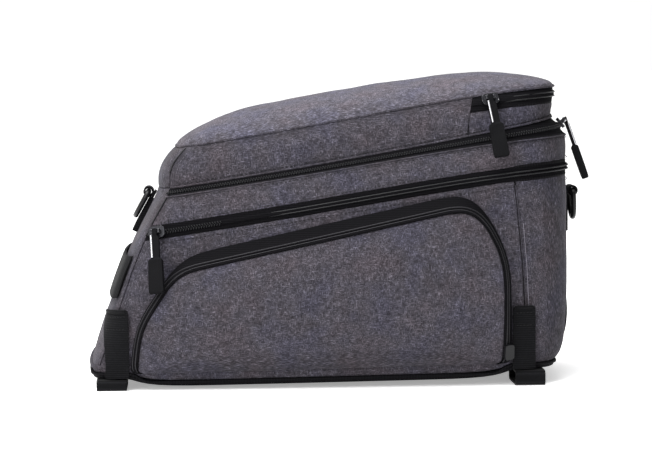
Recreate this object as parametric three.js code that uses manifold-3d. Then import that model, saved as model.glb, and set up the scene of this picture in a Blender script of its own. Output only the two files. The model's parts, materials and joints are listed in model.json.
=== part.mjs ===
// Bicycle trunk bag: a padded, tapered bag that straps onto a rear rack.
// Millimetres, +Z up. -X is the low sloping front, +X the tall rear, -Y the near side.
// The walls are sheets of padded cloth that follow one skin, which a table of level outlines
// describes. Every tape, strap and panel takes its place from that skin.
import * as THREE from 'three';
import { mergeVertices } from 'three/addons/utils/BufferGeometryUtils.js';
import Module from 'manifold-3d';

const wasm = await Module();
wasm.setup();

// Driving sizes of the body
const bagLength = 378;
const bodyWidth = 177;
const bagHeight = 240;
const wall = 3;
const gap = 0.3;
const sideBow = 2;
const endBow = 2.5;
const lidCrown = 19;
const baseThickness = 4;
const baseSag = 6.5;
const sagRamp = 14;

// Rack straps and the loops that the rack's rails pass through. Insets are from the bag's ends.
const strapWidth = 17;
const strapThickness = 2;
const strapTop = 61;
const strapLift = 1.3;
const frontStrapInset = 23.5;
const rearStrapInset = 42.5;
const loopHeight = 8;
const loopWidth = 23;
const loopReach = 44;
const loopWall = 1.6;
const loopOffset = 5;

// Zip tapes
const tapeThickness = 1.6;
const chainProud = 1.2;

// Side pockets
const pocketDepth = 16;
const pocketBulge = 6;
const pocketWall = 2.6;
const pocketClear = 0.8;
const pocketFrontInset = 38;
const pocketRearInset = 59;
const pocketBottom = 13;
const pocketTopFront = 90;
const pocketTopRear = 138;
const bandFront = 5.5;
const bandTop = 12;
const bandRear = 7;

// Carry handle and rear light strap
const handleHeight = 32;
const handleMiddle = 86;
const handleThickness = 2;
const handleStandOff = 2.2;
const lightStrapHeight = 44;
const lightStrapWidth = 26;
const lightStrapMiddle = 45;

// Shoulder-strap rings and the webbing that holds them
const ringWire = 2.3;
const ringWidth = 30;
const ringDrop = 22;
const ringClearance = 0.35;
const ringWebWidth = 19;
const ringWebThickness = 1.6;
const ringCorner = 3.5;
const frontWebLayers = 1.2;
const rearWebLayers = 2;
const frontWebLength = 27;
const rearWebLength = 34;
const webLip = 1.5;
const frontRingSeat = 0.8;
const rearRingSeat = 0.1;
const frontRingHeight = 147;
const rearRingHeight = 146;

// Zip sliders and pulls
const sliderLength = 13;
const sliderWidth = 9;
const sliderThickness = 2.4;
const postThickness = 1.5;
const barRadius = 0.8;
const barHeight = 3.4;
const knuckleRadius = 2;
const knuckleWidth = 3.6;
const stemWidth = 7;
const stemLength = 18;
const stemThickness = 2;
const tabWidth = 11;
const tabLength = 27;
const tabThickness = 4;
const tabCorner = 2.5;
const expansionSliderInset = 55;
const lidSliderInset = 66;
const mainSliderY = -32;
const expansionPullLean = 0.08;
const lidPullLean = -0.09;
const mainPullLean = -0.35;
const pocketSliderLength = 12;
const pocketSliderWidth = 8;
const pocketSliderThickness = 3;

// The walls start above the loops and the base board
const wallBottom = loopHeight + gap + baseThickness + gap;
const frontShare = 0.4974;
const frontEnd = -frontShare * bagLength;
const rearEnd = frontEnd + bagLength;
const frontStrapX = frontEnd + frontStrapInset;
const rearStrapX = rearEnd - rearStrapInset;
const pocketFrontX = frontEnd + pocketFrontInset;
const pocketRearX = rearEnd - pocketRearInset;

const colours = {
  heather: 0x58545c,
  heatherTop: 0x6d6970,
  base: 0x1c1b1e,
  tape: 0x242326,
  webbing: 0x1f1f21,
  hardware: 0x17171a,
  pull: 0x232326,
};

// Levels of the skin, from the walls' bottom edge up to the lid's top seam. front and rear are
// shares of the bag's length from its front end, frontZ and rearZ shares of the height between
// the walls' bottom and the crown, half the share of half the body's width, and the corner radii
// shares of that width. sag and lift are shares of the base's sag and of the bag's height.
const levelTable = [
  // name        front  rear   half   frontZ rearZ  frontR rearR  sag   lift
  ['bottom',     0.003, 0.968, 0.977, 0.000, 0.017, 0.113, 0.175, 1.0, 0.000],
  ['hem',        0.000, 0.984, 0.994, 0.022, 0.037, 0.113, 0.192, 0.8, 0.000],
  ['foot',       0.009, 0.993, 1.000, 0.059, 0.085, 0.113, 0.203, 0.4, 0.000],
  ['low',        0.025, 0.997, 1.000, 0.129, 0.200, 0.113, 0.209, 0.0, 0.000],
  ['middle',     0.046, 1.000, 1.000, 0.230, 0.362, 0.113, 0.226, 0.0, 0.000],
  ['high',       0.069, 1.000, 0.989, 0.340, 0.516, 0.113, 0.243, 0.0, 0.000],
  ['tubTop',     0.095, 1.000, 0.969, 0.442, 0.657, 0.113, 0.260, 0.0, 0.000],
  ['bandBottom', 0.108, 1.000, 0.956, 0.488, 0.703, 0.113, 0.258, 0.0, 0.000],
  ['bandMiddle', 0.124, 1.001, 0.940, 0.536, 0.747, 0.113, 0.250, 0.0, 0.000],
  ['bandTop',    0.141, 0.999, 0.910, 0.587, 0.789, 0.118, 0.240, 0.0, 0.000],
  ['lidBottom',  0.144, 0.968, 0.814, 0.615, 0.815, 0.136, 0.192, 0.0, 0.036],
  ['lidLow',     0.143, 0.970, 0.825, 0.657, 0.859, 0.136, 0.192, 0.0, 0.018],
  ['lidMiddle',  0.153, 0.972, 0.817, 0.701, 0.903, 0.136, 0.192, 0.0, 0.000],
  ['lidHigh',    0.169, 0.974, 0.791, 0.734, 0.934, 0.136, 0.192, 0.0, 0.000],
  ['lidSeam',    0.183, 0.976, 0.751, 0.756, 0.957, 0.136, 0.192, 0.0, 0.000],
];
const levels = levelTable.map((row) => {
  const [name, front, rear, half, frontZ, rearZ, frontR, rearR, sag, lift] = row;
  const rise = bagHeight - wallBottom;
  return {
    name,
    front: frontEnd + front * bagLength,
    rear: frontEnd + rear * bagLength,
    half: half * bodyWidth / 2 - sideBow,
    frontZ: wallBottom + frontZ * rise,
    rearZ: wallBottom + rearZ * rise,
    frontR: frontR * bodyWidth,
    rearR: rearR * bodyWidth,
    sag: sag * baseSag,
    lift: lift * bagHeight,
    dz: 0,
  };
});
const indexOf = (name) => levels.findIndex((level) => level.name === name);

function levelAt(index) {
  const low = Math.min(Math.floor(index), levels.length - 2);
  const share = index - low;
  const mixed = { name: 'between' };
  for (const key of ['front', 'rear', 'half', 'frontZ', 'rearZ', 'frontR', 'rearR', 'sag', 'lift', 'dz']) {
    mixed[key] = levels[low][key] * (1 - share) + levels[low + 1][key] * share;
  }
  return mixed;
}

const smooth = (value) => THREE.MathUtils.smoothstep(value, 0, 1);

// The base hangs lower between the rack loops than over them.
const sagFrom = frontStrapX - loopOffset + loopWidth / 2 + 3;
const sagTo = rearStrapX + loopOffset - loopWidth / 2 - 3;
const sagAt = (x) => smooth((x - sagFrom) / sagRamp) * smooth((sagTo - x) / sagRamp);

// Height of a level at x: it climbs to the rear and flattens there.
function levelZ(level, x) {
  const along = THREE.MathUtils.clamp((x - level.front) / (level.rear - level.front), 0, 1);
  const climb = along + 0.6 * along ** 3 * (1 - along);
  const z = level.frontZ + (level.rearZ - level.frontZ) * climb;
  return z + level.lift * along ** 6 - level.sag * sagAt(x) + level.dz;
}

// A point of a level's outline. turn runs 0..8 round it: 0 front, 1 front near corner,
// 2 near side, 3 rear near corner, 4 rear, 5 rear far corner, 6 far side, 7 front far corner.
// Below 0 it goes on round the far side. out moves the point outward, square to the outline.
function skinPoint(level, turn, out = 0) {
  const wrapped = ((turn % 8) + 8) % 8;
  const far = wrapped > 5;
  const t = far ? 9 - wrapped : wrapped;
  const front = level.front + endBow;
  const rear = level.rear - endBow;
  const { half, frontR, rearR } = level;
  const sign = far ? 1 : -1;
  let x;
  let y;
  if (t < 1) {
    const across = t * 2 - 1;
    x = front - endBow * (1 - across * across) - out;
    y = (half - frontR) * across;
    return new THREE.Vector3(x, -y, levelZ(level, x));
  }
  if (t <= 2) {
    const angle = (t - 1) * Math.PI / 2;
    x = front + frontR - (frontR + out) * Math.cos(angle);
    y = half - frontR + (frontR + out) * Math.sin(angle);
  } else if (t <= 3) {
    const share = t - 2;
    x = front + frontR + (rear - rearR - front - frontR) * share;
    y = half + sideBow * 4 * share * (1 - share) + out;
  } else if (t <= 4) {
    const angle = (t - 3) * Math.PI / 2;
    x = rear - rearR + (rearR + out) * Math.sin(angle);
    y = half - rearR + (rearR + out) * Math.cos(angle);
  } else {
    const across = 1 - (t - 4) * 2;
    x = rear + endBow * (1 - across * across) + out;
    y = (half - rearR) * across;
    return new THREE.Vector3(x, -y, levelZ(level, x));
  }
  return new THREE.Vector3(x, sign * y, levelZ(level, x));
}

// The turn at which a level's near side has this x; the far side's is its mirror.
function turnAtX(level, x) {
  const front = level.front + endBow;
  const rear = level.rear - endBow;
  if (x < front + level.frontR) {
    const cosine = THREE.MathUtils.clamp((front + level.frontR - x) / level.frontR, 0, 1);
    return 1 + Math.acos(cosine) / (Math.PI / 2);
  }
  if (x > rear - level.rearR) {
    const sine = THREE.MathUtils.clamp((x - rear + level.rearR) / level.rearR, 0, 1);
    return 3 + Math.asin(sine) / (Math.PI / 2);
  }
  return 2 + (x - front - level.frontR) / (rear - level.rearR - front - level.frontR);
}
const mirrorTurn = (turn) => 9 - turn;

// The place between the levels where the skin has this height at x
function indexAtHeight(x, z) {
  let low = 0;
  let high = levels.length - 1;
  for (let step = 0; step < 30; step += 1) {
    const middle = (low + high) / 2;
    if (levelZ(levelAt(middle), x) < z) low = middle;
    else high = middle;
  }
  return (low + high) / 2;
}

// Half the body's width at a place on its side
function sideY(x, z) {
  const level = levelAt(indexAtHeight(x, z));
  return -skinPoint(level, turnAtX(level, x)).y;
}

// Moves a turn along the outline by a length
function turnBy(level, turn, length) {
  const step = 0.002;
  const here = skinPoint(level, turn);
  const speed = here.distanceTo(skinPoint(level, turn + step)) / step;
  return turn + length / speed;
}

// Closed solid from an outer and an inner grid of points with the same rows and columns.
// A grid that wraps joins its last column to its first.
function solidFromGrids(outer, inner, wraps = false) {
  const rows = outer.length;
  const columns = outer[0].length;
  const positions = [];
  for (const grid of [outer, inner]) {
    for (const row of grid) for (const point of row) positions.push(point.x, point.y, point.z);
  }
  const at = (side, row, column) => (side * rows + row) * columns + (column % columns);
  const index = [];
  const quad = (a, b, c, d) => index.push(a, b, c, a, c, d);
  const lastColumn = wraps ? columns : columns - 1;
  for (let row = 0; row < rows - 1; row += 1) {
    for (let column = 0; column < lastColumn; column += 1) {
      quad(at(0, row, column), at(0, row, column + 1), at(0, row + 1, column + 1), at(0, row + 1, column));
      quad(at(1, row, column), at(1, row + 1, column), at(1, row + 1, column + 1), at(1, row, column + 1));
    }
  }
  for (let column = 0; column < lastColumn; column += 1) {
    quad(at(1, 0, column), at(1, 0, column + 1), at(0, 0, column + 1), at(0, 0, column));
    const top = rows - 1;
    quad(at(0, top, column), at(0, top, column + 1), at(1, top, column + 1), at(1, top, column));
  }
  if (!wraps) {
    for (let row = 0; row < rows - 1; row += 1) {
      quad(at(0, row, 0), at(0, row + 1, 0), at(1, row + 1, 0), at(1, row, 0));
      const last = columns - 1;
      quad(at(1, row, last), at(1, row + 1, last), at(0, row + 1, last), at(0, row, last));
    }
  }
  return tidy(positions, index);
}

// Welds a mesh, drops triangles that have closed up, and turns it right side out.
function tidy(positions, index) {
  const raw = new THREE.BufferGeometry();
  raw.setAttribute('position', new THREE.Float32BufferAttribute(positions, 3));
  raw.setIndex(index);
  const welded = mergeVertices(raw, 1e-3);
  const source = welded.index.array;
  const kept = [];
  for (let i = 0; i < source.length; i += 3) {
    const [a, b, c] = [source[i], source[i + 1], source[i + 2]];
    if (a !== b && b !== c && a !== c) kept.push(a, b, c);
  }
  const p = welded.attributes.position;
  const corner = [new THREE.Vector3(), new THREE.Vector3(), new THREE.Vector3()];
  let volume = 0;
  for (let i = 0; i < kept.length; i += 3) {
    corner.forEach((vector, side) => vector.fromBufferAttribute(p, kept[i + side]));
    volume += corner[0].dot(corner[1].clone().cross(corner[2])) / 6;
  }
  if (volume < 0) {
    for (let i = 0; i < kept.length; i += 3) [kept[i], kept[i + 1]] = [kept[i + 1], kept[i]];
  }
  welded.setIndex(kept);
  return welded;
}

// A sheet that lies on the skin. rows are levels, turns gives the columns of a level, and low
// and high say how far the inner and outer faces stand off the skin at a row and column share.
function sheet(rows, turns, low, high) {
  const grid = (offset) => rows.map((level, row) => {
    const columns = turns(level);
    return columns.map((turn, column) => {
      const out = offset(row / (rows.length - 1), column / (columns.length - 1));
      return skinPoint(level, turn, out);
    });
  });
  return solidFromGrids(grid(high), grid(low));
}

// Rows from one named level to another, held clear of what lies above and below
function rowsBetween(from, to, clearBelow = gap / 2, clearAbove = gap / 2) {
  const rows = levels.slice(indexOf(from), indexOf(to) + 1).map((level) => ({ ...level }));
  rows[0].dz = clearBelow;
  rows[rows.length - 1].dz = -clearAbove;
  return rows;
}

// Column places between two turns. Corners are cut into arcs and sides at their stops.
const cornerStops = [0, 0.25, 0.5, 0.75];
const endStops = [0, 0.33, 0.67];
const sideStops = [0, 0.25, 0.45, 0.65, 0.85];
function turnsBetween(from, to, stops = sideStops) {
  const list = [from];
  for (let segment = Math.floor(from); segment <= Math.ceil(to); segment += 1) {
    const kind = ((segment % 8) + 8) % 8;
    let shares = cornerStops;
    if (kind === 0 || kind === 4) shares = endStops;
    if (kind === 2) shares = stops;
    if (kind === 6) shares = [0, ...stops.slice(1).map((stop) => 1 - stop).reverse()];
    for (const share of shares) {
      const turn = segment + share;
      if (turn > from + 0.015 && turn < to - 0.015) list.push(turn);
    }
  }
  return [...list, to];
}

// Turns of the seams, the same at every level
const frontSeam = 1.5;
const rearSeam = 3;
const lidZipStart = 2.86;

function seamed(from, to, stops) {
  return (level) => turnsBetween(turnBy(level, from, gap / 2), turnBy(level, to, -gap / 2), stops);
}

const bottomLevel = levels[0];
const sideStart = bottomLevel.front + endBow + bottomLevel.frontR;
const sideEnd = bottomLevel.rear - endBow - bottomLevel.rearR;
const sideShare = (x) => (x - sideStart) / (sideEnd - sideStart);
const tubStops = [0, sideShare(sagFrom), sideShare(sagFrom + sagRamp), 0.27, 0.43, 0.58, 0.74,
  sideShare(sagTo - sagRamp), sideShare(sagTo)];

const bag = new THREE.Group();
function add(name, geometry, colour, roughness = 0.9, metalness = 0) {
  const material = new THREE.MeshStandardMaterial({ color: colour, roughness, metalness });
  const mesh = new THREE.Mesh(geometry, material);
  mesh.name = name;
  bag.add(mesh);
  return mesh;
}
const inward = () => -wall;
const flush = () => 0;

// Body panels: one front panel up to the lid, two sides, and a rear panel that wraps the corners
add('front_panel', sheet(rowsBetween('bottom', 'lidBottom'),
  seamed(-frontSeam + 1, frontSeam), inward, flush), colours.heather);
add('side_panel_near', sheet(rowsBetween('bottom', 'tubTop'),
  seamed(frontSeam, rearSeam, tubStops), inward, flush), colours.heather);
add('side_panel_far', sheet(rowsBetween('bottom', 'tubTop'),
  seamed(mirrorTurn(rearSeam), mirrorTurn(frontSeam), tubStops), inward, flush), colours.heather);
add('rear_panel', sheet(rowsBetween('bottom', 'tubTop'),
  seamed(rearSeam, mirrorTurn(rearSeam)), inward, flush), colours.heather);
add('expansion_band', sheet(rowsBetween('bandBottom', 'bandTop'),
  seamed(frontSeam, mirrorTurn(frontSeam)), inward, flush), colours.heather);

// Lid panels, below its top seam
add('lid_front_panel', sheet(rowsBetween('lidBottom', 'lidSeam'),
  seamed(-frontSeam + 1, frontSeam), inward, flush), colours.heather);
add('lid_side_near', sheet(rowsBetween('lidBottom', 'lidSeam'),
  seamed(frontSeam, lidZipStart), inward, flush), colours.heather);
add('lid_side_far', sheet(rowsBetween('lidBottom', 'lidSeam'),
  seamed(mirrorTurn(lidZipStart), mirrorTurn(frontSeam)), inward, flush), colours.heather);
add('lid_rear_panel', sheet(rowsBetween('lidBottom', 'lidMiddle'),
  seamed(lidZipStart, mirrorTurn(lidZipStart)), inward, flush), colours.heather);

// Zip tapes: two strips of tape with the chain standing proud between them. Each row has the
// share of the tape's width that it lies at and how far its face stands off the skin.
const tapeRows = [
  [0.00, 0],
  [0.30, 0],
  [0.36, chainProud],
  [0.64, chainProud],
  [0.70, 0],
  [1.00, 0],
];
function zipTape(name, from, to, turns, clearAbove = gap / 2) {
  const start = indexOf(from);
  const end = indexOf(to);
  const rows = tapeRows.map(([share]) => levelAt(start + (end - start) * share));
  rows[0].dz = gap / 2;
  rows[rows.length - 1].dz = -clearAbove;
  const proud = (rowShare) => tapeRows[Math.round(rowShare * (tapeRows.length - 1))][1];
  add(name, sheet(rows, turns, () => -tapeThickness, proud), colours.tape, 0.75);
}
zipTape('expansion_zip', 'tubTop', 'bandBottom', seamed(frontSeam, mirrorTurn(frontSeam)));
zipTape('main_zip', 'bandTop', 'lidBottom', seamed(frontSeam, mirrorTurn(frontSeam)));
zipTape('lid_zip', 'lidMiddle', 'lidSeam', seamed(lidZipStart, mirrorTurn(lidZipStart)));

// Domed top of the lid: rings that shrink from the seam onto a spine along the middle
const seamLevel = levels[indexOf('lidSeam')];
const spineShare = 0.55;
const crownPlace = 0.38;
const crownFall = 1.45;
const domeRings = [
  // ring share, share of the wall's thickness
  [1.00, 0.35],
  [0.965, 1.0],
  [0.88, 1.0],
  [0.72, 1.0],
  [0.5, 1.0],
  [0.25, 1.0],
  [0.0, 1.0],
];
function domePoint(turn, ring, above) {
  const rim = skinPoint(seamLevel, turn);
  const middle = (seamLevel.front + seamLevel.rear) / 2;
  const x = middle + (rim.x - middle) * (ring + (1 - ring) * spineShare);
  const along = (x - seamLevel.front) / (seamLevel.rear - seamLevel.front);
  const crown = lidCrown * (1 - crownFall * (along - crownPlace) ** 2) * (1 - ring ** 2.6);
  return new THREE.Vector3(x, rim.y * ring, levelZ(seamLevel, x) + crown + above);
}
function mirroredTurns(stops) {
  const nearTurns = turnsBetween(0.5, 4.5, stops);
  return [...nearTurns, ...nearTurns.slice(1, -1).map(mirrorTurn).reverse()];
}
const domeTurns = mirroredTurns(sideStops);
const domeOuter = domeRings.map(([ring, share]) => domeTurns.map((turn) =>
  domePoint(turn, ring, gap / 2 + wall * share)));
const domeInner = domeRings.map(([ring]) => domeTurns.map((turn) => domePoint(turn, ring, gap / 2)));
add('lid_top_panel', solidFromGrids(domeOuter, domeInner, true), colours.heatherTop);

// Base board with its bound edge. It hangs below the walls and sags between the loops.
const basePlate = [
  // width share, outset, top face below the walls, bottom face below the walls
  [1.0, 0.5, 0.8, baseThickness - 0.8],
  [1.0, -0.8, 0, baseThickness],
  [0.6, -0.8, 0, baseThickness],
  [0.0, -0.8, 0, baseThickness],
];
const baseTurns = mirroredTurns(tubStops);
function baseRow(width, outset, below) {
  return baseTurns.map((turn) => {
    const rim = skinPoint(bottomLevel, turn, outset);
    return new THREE.Vector3(rim.x, rim.y * width, rim.z - gap - below);
  });
}
add('base_panel', solidFromGrids(
  basePlate.map(([width, outset, top]) => baseRow(width, outset, top)),
  basePlate.map(([width, outset, , bottom]) => baseRow(width, outset, bottom)), true), colours.base, 0.8);

// Side pockets. The panel's outline is a rounded shape in the side's plane: each corner has its
// place and how much of it is rounded off.
const pocketLength = pocketRearX - pocketFrontX;
const pocketRise = pocketTopRear - pocketBottom;
const pocketCorners = [
  // x share, z share, rounding
  [0.00, 0.00, 5],
  [0.015, 0.28, 14],
  [0.115, (pocketTopFront - pocketBottom) / pocketRise, 14],
  [0.915, 1.00, 17],
  [1.00, 0.70, 22],
  [1.00, 0.035, 6],
].map(([x, z, round]) => ({
  x: pocketFrontX + x * pocketLength,
  z: pocketBottom + z * pocketRise,
  round,
}));
// Width of the zip band along the edge that follows each corner; the bottom edge has none.
const bandWidths = [bandFront, bandFront, bandTop, bandRear, bandRear, 0];

function offsetCorners(corners, widths) {
  const count = corners.length;
  const edges = corners.map((corner, i) => {
    const next = corners[(i + 1) % count];
    const direction = new THREE.Vector2(next.x - corner.x, next.z - corner.z).normalize();
    const outward = new THREE.Vector2(-direction.y, direction.x);
    return { point: new THREE.Vector2(corner.x, corner.z).addScaledVector(outward, widths[i]), direction };
  });
  return corners.map((corner, i) => {
    const one = edges[(i + count - 1) % count];
    const two = edges[i];
    const across = one.direction.x * two.direction.y - one.direction.y * two.direction.x;
    const between = two.point.clone().sub(one.point);
    const reach = (between.x * two.direction.y - between.y * two.direction.x) / across;
    return {
      x: one.point.x + one.direction.x * reach,
      z: one.point.y + one.direction.y * reach,
      round: corner.round + (widths[i] > 0 && i > 0 ? widths[i] / 2 : 0),
    };
  });
}
const cornerCuts = 3;
const edgeCuts = [1, 1, 5, 1, 2, 5];
function roundedLoop(corners) {
  const points = [];
  corners.forEach((corner, i) => {
    const before = corners[(i + corners.length - 1) % corners.length];
    const after = corners[(i + 1) % corners.length];
    const here = new THREE.Vector2(corner.x, corner.z);
    const towards = (from, to, length) =>
      new THREE.Vector2(to.x - from.x, to.z - from.z).setLength(length);
    const start = here.clone().add(towards(corner, before, corner.round));
    const end = here.clone().add(towards(corner, after, corner.round));
    const curve = new THREE.QuadraticBezierCurve(start, here, end);
    for (let cut = 0; cut <= cornerCuts; cut += 1) points.push(curve.getPoint(cut / cornerCuts));
    const next = new THREE.Vector2(after.x, after.z);
    const nextStart = next.clone().add(towards(after, corner, after.round));
    for (let cut = 1; cut < edgeCuts[i]; cut += 1) {
      points.push(end.clone().lerp(nextStart, cut / edgeCuts[i]));
    }
  });
  return points;
}
const pocketLoop = roundedLoop(pocketCorners);
const bandLoop = roundedLoop(offsetCorners(pocketCorners, bandWidths));
const bottomPoints = edgeCuts[5] - 1;
const pocketMiddle = new THREE.Vector2(
  (pocketFrontX + pocketRearX) / 2, pocketBottom + pocketRise * 0.42);

// How far the pocket's edge stands off the side: its full depth, closing to the wall at the foot
const shutDepth = pocketWall + pocketClear;
const edgeDepth = (z) => shutDepth + (pocketDepth - shutDepth)
  * smooth((z - pocketBottom) / (pocketRise * 0.3));

function pocketPoint(outline, ring, inside, side) {
  const rim = pocketLoop[outline];
  const x = pocketMiddle.x + (rim.x - pocketMiddle.x) * ring;
  const z = pocketMiddle.y + (rim.y - pocketMiddle.y) * ring;
  const edge = edgeDepth(rim.y);
  const depth = edge + (pocketDepth + pocketBulge - edge) * (1 - ring ** 2.4);
  return new THREE.Vector3(x, side * (sideY(x, z) + depth - inside), z);
}
const pocketRings = [1, 0.92, 0.72, 0.4, 0];
// Rows of the zip band: share from the wall to the panel, share of the depth, chain
const bandRows = [
  [0.00, 0.00, 0],
  [0.40, 0.34, 0],
  [0.48, 0.48, chainProud],
  [0.72, 0.80, chainProud],
  [0.78, 0.85, 0],
  [1.00, 1.00, 0],
];
const bandThickness = 2.8;

function bandPoint(place, row, inside, side) {
  const [share, depthShare, proud] = row;
  const rim = pocketLoop[place];
  const outer = bandLoop[place];
  const span = outer.clone().sub(rim);
  const reach = Math.max(span.length(), gap);
  const point = rim.clone().addScaledVector(span, (gap + (reach - gap) * (1 - share)) / reach);
  const shut = bandThickness + pocketClear;
  const depth = Math.max(shut + (edgeDepth(rim.y) - shut) * depthShare, shut);
  const stand = depth + (inside ? -bandThickness : proud);
  return new THREE.Vector3(point.x, side * (sideY(point.x, point.y) + stand), point.y);
}
for (const [name, side] of [['near', -1], ['far', 1]]) {
  const loop = pocketLoop.map((point, place) => place);
  const grid = (inside) => pocketRings.map((ring) =>
    loop.map((place) => pocketPoint(place, ring, inside, side)));
  add(`pocket_panel_${name}`, solidFromGrids(grid(0), grid(pocketWall), true), colours.heather);
  const bandPlaces = loop.slice(0, loop.length - bottomPoints);
  const band = (inside) => bandRows.map((row) =>
    bandPlaces.map((place) => bandPoint(place, row, inside, side)));
  add(`pocket_zip_${name}`, solidFromGrids(band(false), band(true)), colours.tape, 0.75);
}

// Joins closed geometries into one solid
function toSolid(geometry) {
  const bare = geometry.clone();
  for (const key of ['normal', 'uv']) bare.deleteAttribute(key);
  const welded = mergeVertices(bare, 1e-4);
  return new wasm.Manifold(new wasm.Mesh({
    numProp: 3,
    vertProperties: new Float32Array(welded.attributes.position.array),
    triVerts: new Uint32Array(welded.index.array),
  }));
}
function join(...geometries) {
  const whole = geometries.map(toSolid).reduce((sum, next) => sum.add(next));
  const mesh = whole.getMesh();
  return tidy(Array.from(mesh.vertProperties), Array.from(mesh.triVerts));
}
function block(x, y, z, atX = 0, atY = 0, atZ = 0) {
  return new THREE.BoxGeometry(x, y, z).translate(atX, atY, atZ);
}
const basis = (u, v, w) => new THREE.Matrix4().makeBasis(u, v, w);

// Rack straps: a strip of webbing down each lower corner, and a flat loop of webbing under it
const stripShares = [0, 0.35, 0.7, 1];
function strapTurns(centre, width, side) {
  return (level) => {
    const from = turnAtX(level, centre - width / 2);
    const to = turnAtX(level, centre + width / 2);
    const turns = stripShares.map((share) => from + (to - from) * share);
    return side < 0 ? turns : turns.map(mirrorTurn).reverse();
  };
}
for (const [place, centre, outward] of [['front', frontStrapX, -1], ['rear', rearStrapX, 1]]) {
  const top = indexAtHeight(centre, strapTop);
  const rows = [{ ...levelAt(0), dz: -baseThickness + gap }];
  const steps = 2 * Math.ceil(top);
  for (let step = 0; step <= steps; step += 1) rows.push(levelAt(top * step / steps));
  const loopX = centre + outward * loopOffset;
  const underside = [-1, 1].map((end) => levelZ(bottomLevel, loopX + end * loopWidth / 2));
  const height = Math.min(...underside) - baseThickness - 2 * gap;
  const edgeY = bottomLevel.half + strapLift + strapThickness + sideBow;
  for (const [name, side] of [['near', -1], ['far', 1]]) {
    add(`rack_strap_${place}_${name}`, sheet(rows, strapTurns(centre, strapWidth, side),
      () => strapLift, () => strapLift + strapThickness), colours.webbing, 0.85);
    const outline = roundedBox(loopReach, height, height * 0.35);
    outline.holes.push(roundedBox(loopReach - 2 * loopWall, height - 2 * loopWall, height * 0.2));
    const loop = new THREE.ExtrudeGeometry(outline,
      { depth: loopWidth, bevelEnabled: false, curveSegments: 3 });
    loop.translate(0, 0, -loopWidth / 2);
    loop.applyMatrix4(basis(
      new THREE.Vector3(0, 1, 0), new THREE.Vector3(0, 0, 1), new THREE.Vector3(1, 0, 0)));
    const mesh = add(`rack_loop_${place}_${name}`, loop, colours.webbing, 0.85);
    mesh.position.set(loopX, side * (edgeY - loopReach / 2), height / 2);
  }
}
function roundedBox(width, height, radius) {
  const shape = new THREE.Shape();
  const [w, h] = [width / 2, height / 2];
  shape.moveTo(-w + radius, -h);
  shape.lineTo(w - radius, -h);
  shape.absarc(w - radius, -h + radius, radius, -Math.PI / 2, 0);
  shape.lineTo(w, h - radius);
  shape.absarc(w - radius, h - radius, radius, 0, Math.PI / 2);
  shape.lineTo(-w + radius, h);
  shape.absarc(-w + radius, h - radius, radius, Math.PI / 2, Math.PI);
  shape.lineTo(-w, -h + radius);
  shape.absarc(-w + radius, -h + radius, radius, Math.PI, Math.PI * 1.5);
  return shape;
}

// Carry handle across the sloping front, sewn down past both corners
const beyondFront = frontEnd - endBow;
const handleRows = [-1, 0, 1].map((share) =>
  levelAt(indexAtHeight(beyondFront, handleMiddle + share * handleHeight / 2)));
const handleTurns = [-0.34, -0.17, 0, 0.33, 0.67, 1, 1.17, 1.34];
const archAt = (share) => gap + handleStandOff * Math.sin(Math.PI * share) ** 0.5;
add('carry_handle', sheet(handleRows, () => handleTurns,
  (row, column) => archAt(column),
  (row, column) => archAt(column) + handleThickness), colours.webbing, 0.85);

// Strap for a rear light, sewn down at its top and bottom
const rearX = levels[indexOf('middle')].rear;
const lightRows = [-1, -0.5, 0, 0.5, 1].map((share) =>
  levelAt(indexAtHeight(rearX, lightStrapMiddle + share * lightStrapHeight / 2)));
function rearTurns(width) {
  return (level) => {
    const reach = width / 4 / (level.half - level.rearR);
    return [4.5 - reach, 4.5, 4.5 + reach];
  };
}
const lightArch = (share) => gap + handleStandOff * Math.sin(Math.PI * share);
add('light_strap', sheet(lightRows, rearTurns(lightStrapWidth),
  (row) => lightArch(row), (row) => lightArch(row) + handleThickness), colours.webbing, 0.85);

// Shoulder-strap rings. Each is a D of round bar, whose straight side runs in a fold of webbing.
// The ring's own frame has its straight side on Y and hangs down -Z.
function ringGeometry() {
  const half = ringWidth / 2 - ringWire;
  const corner = ringCorner;
  const path = [[-(half - corner), 0], [half - corner, 0], [half - 0.9, -1.2]];
  const arcSteps = 10;
  for (let step = 0; step <= arcSteps; step += 1) {
    const angle = Math.PI * step / arcSteps;
    path.push([half * Math.cos(angle), -corner - (ringDrop - corner) * Math.sin(angle)]);
  }
  path.push([-(half - 0.9), -1.2]);
  const sides = 8;
  const grid = [];
  for (let side = 0; side < sides; side += 1) {
    const angle = 2 * Math.PI * side / sides;
    grid.push(path.map(([y, z], i) => {
      const before = path[(i + path.length - 1) % path.length];
      const after = path[(i + 1) % path.length];
      const normal = new THREE.Vector2(-(after[1] - before[1]), after[0] - before[0]).normalize();
      const reach = ringWire * Math.cos(angle);
      return new THREE.Vector3(ringWire * Math.sin(angle), y + normal.x * reach, z + normal.y * reach);
    }));
  }
  const positions = grid.flat().flatMap((point) => point.toArray());
  const index = [];
  const columns = path.length;
  const at = (side, column) => (side % sides) * columns + (column % columns);
  for (let side = 0; side < sides; side += 1) {
    for (let column = 0; column < columns; column += 1) {
      index.push(at(side, column), at(side + 1, column), at(side + 1, column + 1));
      index.push(at(side, column), at(side + 1, column + 1), at(side, column + 1));
    }
  }
  return tidy(positions, index);
}
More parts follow.
